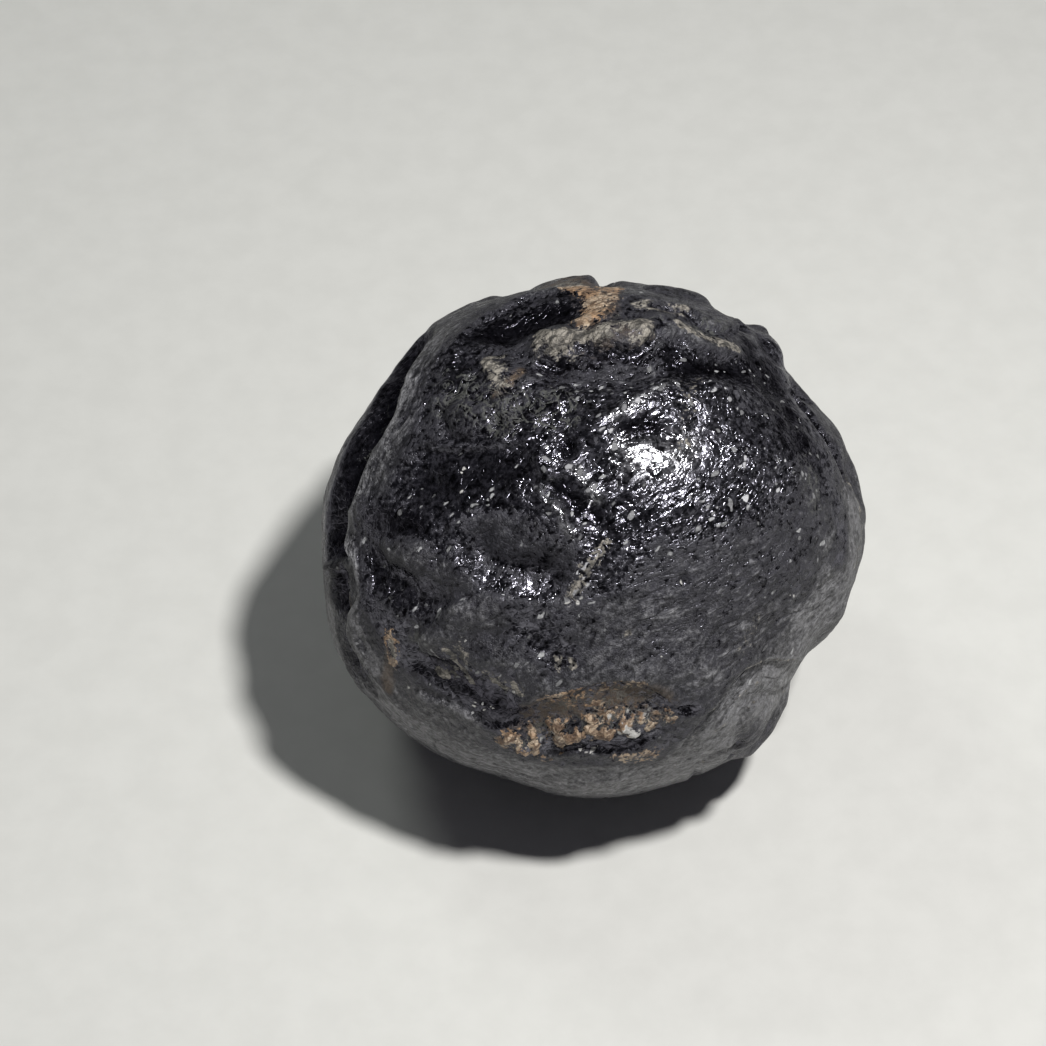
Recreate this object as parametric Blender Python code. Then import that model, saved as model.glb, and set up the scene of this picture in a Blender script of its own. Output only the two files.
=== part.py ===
"""A rounded nodule of tarnished native metal, one solid piece resting on a small worn foot.

The frame is in metres with +Z up. The origin is the middle of the foot, on the surface that the
nodule rests on. Azimuth 0 is the side that faces -Y, and the photograph looks down on that side.
The form is a lump whose outline is the one photographed. Hollows, swellings, ridges and ledges
are then raised on it or sunk into it, each along a short path of its own.
"""

import math
import random

import bmesh
import bpy
import numpy as np
from mathutils import Vector, noise

# Driving dimensions, in metres.
NODULE_WIDTH = 0.038
VIEW_DISTANCE = 0.22
MM = 0.001

# The photograph, in its own pixels, and the angle that it looks down at. The outline is drawn a
# little inside the one photographed, because the features' rises widen it again.
VIEW_ELEVATION = math.radians(50)
PHOTO_MIDDLE = (523, 523)
NODULE_MIDDLE = (592, 538)
OUTLINE = (
    (866, 516), (856, 481), (843, 437), (820, 405), (800, 394), (784, 362), (766, 340), (738, 322),
    (706, 298), (660, 284), (620, 281), (575, 280), (530, 291), (478, 300), (438, 320), (409, 350),
    (383, 380), (359, 420), (334, 460), (322, 500), (319, 545), (322, 600), (332, 640), (352, 682),
    (388, 720), (425, 750), (468, 769), (520, 785), (560, 795), (600, 799), (640, 795), (680, 784),
    (720, 766), (750, 746), (778, 714), (794, 674), (812, 646), (832, 625), (846, 597), (860, 555),
)
OUTLINE_WAVES = 10
OUTLINE_INSET = 2.5
METRES_PER_PIXEL = NODULE_WIDTH / (866 - 319)

# The lump: how deep it is before and behind the outline's plane, and how full its sections are.
FRONT_DEPTH = 0.0169
BACK_DEPTH = 0.0172
FULLNESS = 2.15
MIDDLE_HEIGHT = 0.0166
FOOT_ROUNDING = 0.0008
FOOT_FLATNESS = 0.00003

# Features: (kind, sizes in mm, path). The sizes are half a width and a height or depth. A ledge
# has two widths, of its upper side, which is on the left of its path, and of its lower side.
# On the side that the photograph shows, a path is in its pixels.
SEEN = {
    "left trough": ("hollow", 2.7, 1.5, [
        (410, 352), (391, 396), (372, 430), (357, 463), (344, 497), (338, 532)]),
    "left pocket": ("hollow", 1.3, 0.7, [(338, 578), (338, 604)]),
    "left step": ("ledge", 4.0, 1.5, 1.0, [
        (428, 338), (416, 373), (409, 402), (396, 432), (378, 456), (368, 480), (361, 502), (350, 519),
        (349, 540), (357, 562), (361, 590), (352, 628), (366, 660), (386, 692)]),
    "left crest": ("ridge", 0.7, 0.55, [
        (428, 338), (416, 373), (409, 402), (396, 432), (378, 456), (368, 480), (361, 502), (350, 519),
        (349, 540), (357, 562), (361, 590), (352, 628), (367, 662), (386, 692), (412, 724)]),
    "left cross ridge": ("ridge", 0.4, 0.4, [(325, 571), (335, 562), (348, 553)]),
    "left flank": ("hollow", 3.6, 0.12, [(320, 490), (318, 540), (319, 570)]),
    "left outer ridge": ("ridge", 0.5, 0.3, [(331, 612), (341, 644), (354, 674), (370, 700)]),
    "lower left groove": ("hollow", 0.8, 0.35, [(345, 640), (356, 666), (374, 692)]),
    "top knob": ("swelling", 2.4, 0.5, [(552, 283), (592, 282)]),
    "top notch": ("hollow", 1.3, 1.35, [(599, 278), (612, 284)]),
    "top right brow": ("swelling", 2.0, 0.35, [(664, 288), (692, 295)]),
    "hollow by the top knob": ("hollow", 2.2, 0.9, [(506, 328), (532, 318), (562, 313)]),
    "rim over that hollow": ("ledge", 2.0, 1.2, 0.5, [
        (456, 388), (461, 360), (464, 338), (478, 320), (506, 309), (540, 298), (572, 298), (588, 306)]),
    "pale top lump": ("swelling", 1.3, 0.55, [(541, 345), (562, 342)]),
    "pale right lump": ("swelling", 1.3, 0.5, [(606, 338), (634, 338)]),
    "top ledge": ("ledge", 2.2, 1.6, 1.1, [
        (522, 362), (537, 358), (556, 355), (567, 346), (580, 342), (598, 346), (620, 351), (640, 351),
        (652, 340), (656, 328)]),
    "right ledge": ("ledge", 1.6, 1.5, 0.9, [
        (652, 356), (666, 345), (682, 341), (698, 350), (718, 354), (736, 354), (750, 358)]),
    "upper ledge": ("ledge", 1.4, 1.0, 0.7, [
        (632, 312), (648, 309), (668, 311), (690, 314), (704, 325), (722, 330), (744, 326)]),
    "right knob": ("swelling", 1.9, 0.75, [(762, 336), (771, 352)]),
    "right notch": ("hollow", 1.5, 0.8, [(716, 302), (728, 314), (737, 321)]),
    "notch over the right crease": ("hollow", 2.2, 0.8, [(798, 373), (811, 388)]),
    "kink in that notch": ("hollow", 1.3, 0.6, [(799, 388), (804, 393)]),
    "rise left of the knob": ("swelling", 1.3, 0.35, [(755, 327), (760, 331)]),
    "shelf under the ledges": ("hollow", 2.0, 0.6, [
        (556, 366), (610, 372), (652, 372), (690, 366), (734, 368)]),
    "dome shoulder": ("swelling", 2.6, 0.45, [(600, 430), (636, 414), (672, 398), (712, 390)]),
    "dome crown": ("swelling", 6.0, 0.4, [(668, 452), (676, 449)]),
    "right side of the dome": ("swelling", 5.5, 0.7, [(748, 420), (756, 440)]),
    "dome edge": ("ridge", 0.8, 0.38, [
        (572, 436), (592, 424), (616, 414), (642, 402), (662, 391), (682, 380)]),
    "dent on the dome": ("hollow", 1.2, 0.34, [(624, 432), (650, 428), (664, 434)]),
    "small pit by the dome": ("hollow", 0.7, 0.45, [(566, 440), (571, 452)]),
    "upper short ridge": ("ridge", 0.5, 0.3, [(560, 464), (580, 480), (603, 500)]),
    "lower short ridge": ("ridge", 0.5, 0.35, [(536, 488), (552, 505), (564, 520), (574, 538)]),
    "hollow between them": ("hollow", 1.3, 0.3, [(556, 488), (580, 505), (600, 514)]),
    "bright lump": ("swelling", 0.9, 0.3, [(540, 455), (550, 472)]),
    "ring lump": ("swelling", 1.5, 0.4, [(462, 412), (476, 418)]),
    "groove round it": ("hollow", 0.5, 0.25, [
        (444, 412), (448, 430), (466, 441), (486, 436), (494, 420), (488, 400)]),
    "pale patch": ("swelling", 1.0, 0.35, [(487, 362), (497, 382)]),
    "edge of the upper left": ("ledge", 2.6, 1.4, 0.5, [
        (408, 452), (434, 446), (462, 448), (490, 446), (520, 444), (544, 434)]),
    "dark left dish": ("hollow", 2.8, 0.4, [(418, 486), (475, 482)]),
    "middle thumbprint": ("hollow", 2.2, 0.9, [(482, 548), (512, 560), (544, 572)]),
    "its upper swell": ("swelling", 1.3, 0.3, [(500, 544), (546, 554)]),
    "its lower lip": ("ledge", 1.8, 1.0, 0.5, [
        (566, 600), (544, 600), (518, 596), (494, 588), (474, 576), (463, 556), (458, 536)]),
    "left knuckle": ("swelling", 1.7, 0.5, [(394, 554), (420, 556)]),
    "hollow under the left knuckle": ("hollow", 2.0, 0.6, [(384, 572), (406, 588), (434, 602)]),
    "left shoulder": ("swelling", 1.9, 0.5, [(434, 644), (454, 618), (486, 610)]),
    "edge of the shoulder": ("ledge", 1.6, 1.2, 0.55, [
        (480, 598), (456, 600), (438, 614), (422, 638), (412, 662)]),
    "low middle dish": ("hollow", 2.2, 0.35, [(494, 634), (536, 640)]),
    "lower left thumbprint": ("hollow", 2.5, 0.55, [(430, 666), (462, 684), (500, 700)]),
    "lip of it": ("ledge", 2.4, 1.1, 0.45, [
        (526, 720), (504, 724), (482, 722), (466, 712), (448, 703), (424, 697), (404, 690)]),
    "small low lump": ("swelling", 0.8, 0.25, [(492, 654), (504, 658)]),
    "earthy hollow": ("hollow", 2.2, 0.6, [(536, 724), (570, 716), (606, 710), (644, 708)]),
    "upper lip of it": ("ledge", 1.5, 1.1, 0.45, [
        (500, 728), (520, 711), (542, 700), (572, 690), (608, 682), (642, 684), (664, 698), (672, 716)]),
    "lower lip of it": ("ledge", 1.8, 0.9, 0.5, [
        (676, 722), (660, 734), (640, 746), (612, 753), (584, 752), (554, 752), (524, 758)]),
    "lump in it": ("swelling", 0.55, 0.35, [(622, 730), (634, 736)]),
    "shoulder above it": ("swelling", 1.4, 0.15, [(556, 686), (592, 668), (640, 672), (704, 664)]),
    "pit beside it": ("hollow", 0.6, 0.4, [(681, 709), (685, 707)]),
    "small pit on the dome": ("hollow", 0.5, 0.3, [(681, 580), (683, 583)]),
    "facet edge": ("ledge", 3.2, 2.4, 0.6, [
        (640, 788), (664, 766), (686, 742), (702, 714), (722, 696), (734, 680), (752, 669), (778, 662),
        (806, 656)]),
    "brow over the facet": ("swelling", 2.2, 0.5, [(834, 612), (822, 636)]),
    "notch under the brow": ("hollow", 1.5, 0.3, [(798, 672), (792, 686)]),
    "facet lobe": ("swelling", 1.8, 0.35, [(766, 716), (754, 736)]),
    "outer facet lobe": ("swelling", 2.1, 0.75, [(790, 700), (776, 724), (750, 750)]),
    "facet crease": ("hollow", 0.7, 0.35, [(788, 688), (766, 697), (748, 713), (740, 735), (732, 758)]),
    "second facet crease": ("hollow", 0.6, 0.25, [(690, 784), (702, 768), (720, 754), (738, 748)]),
    "bottom lobe": ("swelling", 1.9, 0.3, [(572, 784), (606, 782)]),
    "right crease": ("hollow", 0.9, 0.65, [(797, 394), (812, 413), (824, 432), (838, 452), (848, 474)]),
    "right lobe": ("swelling", 1.4, 0.15, [(822, 412), (838, 436)]),
    "dent below the crease": ("hollow", 1.7, 0.6, [(852, 470), (858, 488)]),
    "right rough patch": ("swelling", 1.5, 0.2, [(800, 478), (808, 498)]),
}
# On the hidden sides, a path is in degrees of azimuth and elevation.
HIDDEN = {
    "back left dish": ("hollow", 4.0, 1.0, [(232, 16), (250, 2)]),
    "back thumbprint": ("hollow", 2.8, 0.9, [(178, 30), (192, 16)]),
    "back low dish": ("hollow", 3.6, 0.8, [(140, -10), (158, -18)]),
    "right low dish": ("hollow", 3.0, 0.7, [(75, -30), (92, -20)]),
    "right side thumbprint": ("hollow", 2.2, 0.7, [(124, 4), (136, -4)]),
    "left low trough": ("hollow", 2.2, 0.7, [(262, -14), (284, -26), (305, -36)]),
    "back right pit": ("hollow", 1.1, 0.6, [(152, 24), (156, 21)]),
    "front low dish": ("hollow", 2.8, 0.5, [(350, -50), (24, -50)]),
    "back brow": ("swelling", 3.0, 0.7, [(160, 6), (178, 0), (198, -2)]),
    "back left knuckle": ("swelling", 2.4, 0.7, [(214, 6), (226, -2)]),
    "right brow": ("swelling", 2.4, 0.6, [(106, -10), (120, -16)]),
    "left brow": ("swelling", 2.4, 0.5, [(256, -6), (270, -16)]),
    "back top lump": ("swelling", 2.0, 0.5, [(206, 30), (220, 24)]),
    "back seam": ("ridge", 0.8, 0.5, [(142, 26), (138, 12), (130, -4), (132, -22)]),
    "back left seam": ("ridge", 0.7, 0.45, [(240, 24), (226, 18), (214, 8), (208, -4)]),
    "low seam": ("ridge", 0.7, 0.4, [(170, -26), (200, -20), (228, -26), (250, -24)]),
    "back ledge": ("ledge", 3.0, 1.6, 1.0, [(146, 20), (160, 16), (174, 14), (190, 8), (208, 12), (222, 24)]),
    "right ledge": ("ledge", 2.6, 1.4, 0.7, [(98, -22), (114, -12), (128, -8), (144, 2)]),
    "left ledge": ("ledge", 2.6, 1.4, 0.7, [(266, -18), (252, -4), (242, 8), (228, 22)]),
    "low back ledge": ("ledge", 2.2, 1.4, 0.7, [(246, -12), (224, -8), (204, -12), (184, -6)]),
}
# More like them, drawn over the hidden sides: (kind, lowest sizes in mm, highest sizes in mm).
DRAWN = (
    ("hollow", (0.8, 0.2), (2.4, 0.5)),
    ("hollow", (0.6, 0.2), (1.2, 0.4)),
    ("swelling", (0.8, 0.15), (2.0, 0.4)),
    ("ridge", (0.4, 0.15), (0.7, 0.35)),
    ("ledge", (1.2, 0.8, 0.2), (2.4, 1.4, 0.5)),
)
DRAWS = 60
DRAW_SEED = 11
DRAWN_STEP = (5, 14)
SEEN_MARGIN = 0.003
PATH_STEPS = 5
PATH_TAPER = 0.2
LEDGE_LIP = 0.3
REACH = 4.5

# Gentle unevenness all over: (size of the waves, height), both in mm. It is calm at the outline.
UNEVENNESS = ((9.0, 0.5), (4.0, 0.24), (2.0, 0.1))
UNEVEN_SEED = Vector((3.1, 7.7, 1.3))
CALM_BAND = 0.007
CALMEST = 0.12
# The features' edges wander by this much: (size of the waves, how far), both in mm.
WANDER = ((5.0, 0.3), (1.6, 0.22))
WANDER_SEEDS = (Vector((5.2, 1.9, 8.4)), Vector((9.6, 4.3, 2.2)), Vector((0.8, 6.5, 3.7)))
# The smooth dome: half width in mm, how much calmer, path.
DOME = (8.0, 0.85, [(640, 474), (720, 452)])

# The mesh: a fine ball for the form, then the share of its faces that the solid keeps.
BALL_CUTS = 63
FACES_KEPT = 0.18

TARNISH = {"Base Color": (0.022, 0.022, 0.025, 1), "Metallic": 0.6, "Roughness": 0.32}

VIEW_RIGHT = np.array((1.0, 0.0, 0.0))
VIEW_UP = np.array((0.0, math.sin(VIEW_ELEVATION), math.cos(VIEW_ELEVATION)))
VIEW_NEAR = np.array((0.0, -math.cos(VIEW_ELEVATION), math.sin(VIEW_ELEVATION)))


def outline_radius(angle):
    """The outline's distance from the nodule's middle at these angles, as a smooth sum of waves."""
    points = (np.array(OUTLINE) - NODULE_MIDDLE) * (METRES_PER_PIXEL, -METRES_PER_PIXEL)

    def waves(at):
        turns = np.outer(at, np.arange(1, OUTLINE_WAVES + 1))
        return np.hstack([np.ones((len(at), 1)), np.cos(turns), np.sin(turns)])

    read = waves(np.arctan2(points[:, 1], points[:, 0]))
    radii = np.hypot(points[:, 0], points[:, 1]) - OUTLINE_INSET * METRES_PER_PIXEL
    shares = np.linalg.lstsq(read, radii, rcond=None)[0]
    return waves(angle) @ shares


def lump_radius(out):
    """The plain lump's radius in these directions from its middle, which are unit vectors."""
    right, up, near = out @ VIEW_RIGHT, out @ VIEW_UP, out @ VIEW_NEAR
    across = np.hypot(right, up) / outline_radius(np.arctan2(up, right))
    deep = np.abs(near) / np.where(near > 0, FRONT_DEPTH, BACK_DEPTH)
    return (across**FULLNESS + deep**FULLNESS) ** (-1 / FULLNESS)


def seen_places(pixels):
    """The points of the lump that these pixels of the photograph show, measured from its middle."""
    pixels = np.array(pixels, float)
    lens = (pixels - PHOTO_MIDDLE) * (METRES_PER_PIXEL, -METRES_PER_PIXEL)
    middle = (np.array(NODULE_MIDDLE) - PHOTO_MIDDLE) * (METRES_PER_PIXEL, -METRES_PER_PIXEL)
    near = np.full(len(pixels), FRONT_DEPTH / 2)
    for _ in range(12):
        flat = lens * (1 - near / VIEW_DISTANCE)[:, None] - middle
        share = np.hypot(flat[:, 0], flat[:, 1]) / outline_radius(np.arctan2(flat[:, 1], flat[:, 0]))
        near = FRONT_DEPTH * np.clip(1 - share**FULLNESS, 0, 1) ** (1 / FULLNESS)
    return flat[:, :1] * VIEW_RIGHT + flat[:, 1:] * VIEW_UP + near[:, None] * VIEW_NEAR


def hidden_places(degrees):
    """The points of the lump at these azimuths and elevations, measured from its middle."""
    azimuth, elevation = np.radians(np.array(degrees, float)).T
    level = np.cos(elevation)
    out = np.stack([np.sin(azimuth) * level, -np.cos(azimuth) * level, np.sin(elevation)], 1)
    return out * lump_radius(out)[:, None]


def smooth_path(points):
    """A Catmull-Rom curve through the points, as a denser run of points."""
    if len(points) < 3:
        return points
    ends = np.vstack([2 * points[0] - points[1], points, 2 * points[-1] - points[-2]])
    run = []
    for a, b, c, d in zip(ends, ends[1:], ends[2:], ends[3:]):
        for t in np.arange(PATH_STEPS) / PATH_STEPS:
            bend = 2 * a - 5 * b + 4 * c - d
            run.append((2 * b + (c - a) * t + bend * t**2 + (3 * b - a - 3 * c + d) * t**3) / 2)
    return np.vstack([*run, points[-1]])


def distances(places, out, path):
    """How far each place is from the path, negative to its right, and how far along it, from 0 to 1."""
    nearest = np.full(len(places), np.inf)
    side = np.ones(len(places))
    along = np.zeros(len(places))
    lengths = np.linalg.norm(np.diff(path, axis=0), axis=1)
    starts = np.concatenate([[0], np.cumsum(lengths)])
    for i, (start, run) in enumerate(zip(path, np.diff(path, axis=0))):
        share = np.clip((places - start) @ run / (run @ run), 0, 1)
        away = places - start - share[:, None] * run
        distance = np.linalg.norm(away, axis=1)
        closer = distance < nearest
        nearest[closer] = distance[closer]
        left = np.einsum("ij,ij->i", np.cross(run, away), out)
        side[closer] = np.where(left[closer] < 0, -1, 1)
        along[closer] = ((starts[i] + share * lengths[i]) / starts[-1])[closer]
    return nearest * side, along


def swelling(distance, along, width, height):
    """A smooth rise that ends at its width."""
    return height * np.clip(1 - (distance / width) ** 2, 0, None) ** 2


def hollow(distance, along, width, depth):
    """A smooth dip that ends at its width."""
    return -swelling(distance, along, width, depth)


def taper(along):
    """A fade to nothing at both ends of a path."""
    return np.clip(np.minimum(along, 1 - along) / PATH_TAPER, 0, 1)


def ridge(distance, along, width, height):
    """A rise with a narrow crest."""
    return height * np.exp(-np.abs(distance / width) ** 1.2) * taper(along)


def ledge(distance, along, upper, lower, height):
    """A drop from the left of the path to its right, level again away from it on both sides."""
    above = 0.5 + 0.5 * np.tanh(distance / LEDGE_LIP)
    rise = above * np.exp(-np.clip(distance, 0, None) / upper)
    fall = (1 - above) * np.exp(np.clip(distance, None, 0) / lower)
    return 0.5 * height * (rise - fall) * taper(along)


KINDS = {"swelling": swelling, "hollow": hollow, "ridge": ridge, "ledge": ledge}


def noise_at(places, size, seed):
    """Smooth noise of this size, in mm, at each place."""
    return np.array([noise.noise(Vector(p) + seed) for p in places / (size * MM)])


def wandered(places):
    """The places, each moved a little, so that the features' edges wander as natural ones do."""
    moved = places.copy()
    for size, far in WANDER:
        for axis, seed in enumerate(WANDER_SEEDS):
            moved[:, axis] += far * MM * noise_at(places, size, seed)
    return moved


def drawn():
    """The features that are drawn over the hidden sides, each with a short path in degrees."""
    draw = random.Random(DRAW_SEED)
    features = {}
    while len(features) < DRAWS:
        kind, least, most = draw.choice(DRAWN)
        sizes = [draw.uniform(*pair) for pair in zip(least, most)]
        azimuth = draw.uniform(0, 360)
        elevation = math.degrees(math.asin(draw.uniform(-0.9, 0.8)))
        heading = draw.uniform(0, 2 * math.pi)
        path = []
        for _ in range(draw.randint(2, 4)):
            path.append((azimuth, elevation))
            step = draw.uniform(*DRAWN_STEP)
            heading += draw.uniform(-0.6, 0.6)
            azimuth += step * math.cos(heading) / max(0.3, math.cos(math.radians(elevation)))
            elevation = min(80, max(-80, elevation + step * math.sin(heading)))
        if (hidden_places(path) @ VIEW_NEAR).max() < -SEEN_MARGIN:
            features[f"drawn {len(features)}"] = (kind, *sizes, path)
    return features


def relief(places, out):
    """The height that the features add at each place, in metres."""
    added = np.zeros(len(places))
    for features, places_of in ((SEEN, seen_places), (HIDDEN, hidden_places), (drawn(), hidden_places)):
        for kind, *sizes, read in features.values():
            path = smooth_path(places_of(read))
            middle = path.mean(axis=0)
            reach = np.linalg.norm(path - middle, axis=1).max() + REACH * max(sizes) * MM
            close = np.linalg.norm(places - middle, axis=1) < reach
            distance, along = distances(places[close], out[close], path)
            added[close] += KINDS[kind](distance / MM, along, *sizes) * MM
    return added


def unevenness(places, out):
    """Waves of a few sizes, as a smooth noise in space, calmer at the outline and on the dome."""
    calm = np.clip(CALMEST + np.abs(places @ VIEW_NEAR) / CALM_BAND, 0, 1)
    half_width, calmer, read = DOME
    distance, along = distances(places, out, smooth_path(seen_places(read)))
    calm *= 1 - swelling(distance / MM, along, half_width, calmer)
    waves = sum(height * noise_at(places, size, UNEVEN_SEED) for size, height in UNEVENNESS)
    return waves * calm * MM


def with_foot(points):
    """The points with a worn flat foot below, which blends into the sides."""
    depth = np.maximum(-points[:, 2], 1e-9)
    share = MIDDLE_HEIGHT / depth
    near_foot = np.clip(0.5 + 0.5 * (1 - share) * MIDDLE_HEIGHT / FOOT_ROUNDING, 0, 1)
    scale = 1 + (share - 1) * near_foot
    scale -= FOOT_ROUNDING / MIDDLE_HEIGHT * near_foot * (1 - near_foot)
    return points * scale[:, None]


def nodule_points(out):
    """The nodule's surface in these directions from its middle."""
    places = out * lump_radius(out)[:, None]
    lift = unevenness(places, out) + relief(wandered(places), out)
    return with_foot(places + lift[:, None] * out)


def ball(name):
    """A ball of even square faces, of radius 1: a cube with gridded sides, rounded."""
    mesh = bpy.data.meshes.new(name)
    shape = bmesh.new()
    bmesh.ops.create_cube(shape, size=2)
    bmesh.ops.subdivide_edges(shape, edges=shape.edges[:], cuts=BALL_CUTS, use_grid_fill=True)
    for vertex in shape.verts:
        vertex.co = Vector([math.tan(x * math.pi / 4) for x in vertex.co]).normalized()
    shape.to_mesh(mesh)
    shape.free()
    return mesh


def tarnish():
    """Black, dully shining tarnish."""
    material = bpy.data.materials.new("tarnish")
    material.use_nodes = True
    shader = material.node_tree.nodes["Principled BSDF"]
    for socket, value in TARNISH.items():
        shader.inputs[socket].default_value = value
    return material


def simplified(lump):
    """The lump's mesh with fewer faces, most of them kept where it is rough, and its foot flat."""
    fewer = lump.modifiers.new("fewer faces", "DECIMATE")
    fewer.ratio = FACES_KEPT
    mesh = bpy.data.meshes.new_from_object(lump.evaluated_get(bpy.context.evaluated_depsgraph_get()))
    lump.modifiers.clear()
    for vertex in mesh.vertices:
        if vertex.co.z < FOOT_FLATNESS:
            vertex.co.z = 0
    return mesh


def nodule(collection):
    """The whole specimen, as one solid."""
    mesh = ball("nodule")
    out = np.empty(len(mesh.vertices) * 3)
    mesh.vertices.foreach_get("co", out)
    points = nodule_points(out.reshape(-1, 3)) + (0, 0, MIDDLE_HEIGHT)
    mesh.vertices.foreach_set("co", points.ravel())
    mesh.update()
    mesh.shade_smooth()
    mesh.materials.append(tarnish())
    lump = bpy.data.objects.new("nodule", mesh)
    collection.objects.link(lump)
    lump.data = simplified(lump)
    return lump


def main():
    for old in list(bpy.data.objects):
        bpy.data.objects.remove(old)
    collection = bpy.data.collections.new("native metal nodule")
    bpy.context.scene.collection.children.link(collection)
    nodule(collection)


main()
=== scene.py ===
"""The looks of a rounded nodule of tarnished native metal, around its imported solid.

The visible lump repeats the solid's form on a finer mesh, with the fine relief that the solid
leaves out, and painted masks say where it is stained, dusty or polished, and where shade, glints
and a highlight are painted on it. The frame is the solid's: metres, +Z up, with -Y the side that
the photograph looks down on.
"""

import math
import random

import bmesh
import bpy
import numpy as np
from mathutils import Matrix, Vector, noise


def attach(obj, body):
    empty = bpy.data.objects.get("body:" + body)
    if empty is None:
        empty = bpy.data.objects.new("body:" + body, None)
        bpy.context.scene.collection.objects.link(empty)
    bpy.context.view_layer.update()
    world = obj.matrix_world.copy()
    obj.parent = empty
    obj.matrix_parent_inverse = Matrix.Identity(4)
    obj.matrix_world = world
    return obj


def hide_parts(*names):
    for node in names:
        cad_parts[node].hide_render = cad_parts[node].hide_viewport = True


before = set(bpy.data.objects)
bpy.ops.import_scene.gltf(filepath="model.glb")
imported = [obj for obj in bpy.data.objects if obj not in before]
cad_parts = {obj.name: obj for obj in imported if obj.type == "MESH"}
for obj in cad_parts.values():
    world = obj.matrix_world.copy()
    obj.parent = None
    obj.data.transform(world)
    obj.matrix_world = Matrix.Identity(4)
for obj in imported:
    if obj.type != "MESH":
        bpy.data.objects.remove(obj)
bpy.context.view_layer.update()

# Sizes, in metres.
MM = 0.001
NODULE_WIDTH = 38 * MM

# The photograph, in its own pixels, and how it was taken.
PHOTO_SIZE = 1046
PHOTO_MIDDLE = (523, 523)
NODULE_MIDDLE = (592, 538)
VIEW_ELEVATION = math.radians(50)
VIEW_DISTANCE = 220 * MM
OUTLINE = (
    (866, 516), (856, 481), (843, 437), (820, 405), (800, 394), (784, 362), (766, 340), (738, 322),
    (706, 298), (660, 284), (620, 281), (575, 280), (530, 291), (478, 300), (438, 320), (409, 350),
    (383, 380), (359, 420), (334, 460), (322, 500), (319, 545), (322, 600), (332, 640), (352, 682),
    (388, 720), (425, 750), (468, 769), (520, 785), (560, 795), (600, 799), (640, 795), (680, 784),
    (720, 766), (750, 746), (778, 714), (794, 674), (812, 646), (832, 625), (846, 597), (860, 555),
)
OUTLINE_WAVES = 10
OUTLINE_INSET = 2.5
METRES_PER_PIXEL = NODULE_WIDTH / (866 - 319)
# Rounds of nearing the place on the lump that a pixel shows.
PLACE_ROUNDS = 12

# The lump: how deep it is before and behind the outline's plane, and how full its sections are.
FRONT_DEPTH = 16.9 * MM
BACK_DEPTH = 17.2 * MM
FULLNESS = 2.15
MIDDLE_HEIGHT = 16.6 * MM
FOOT_ROUNDING = 0.8 * MM

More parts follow.
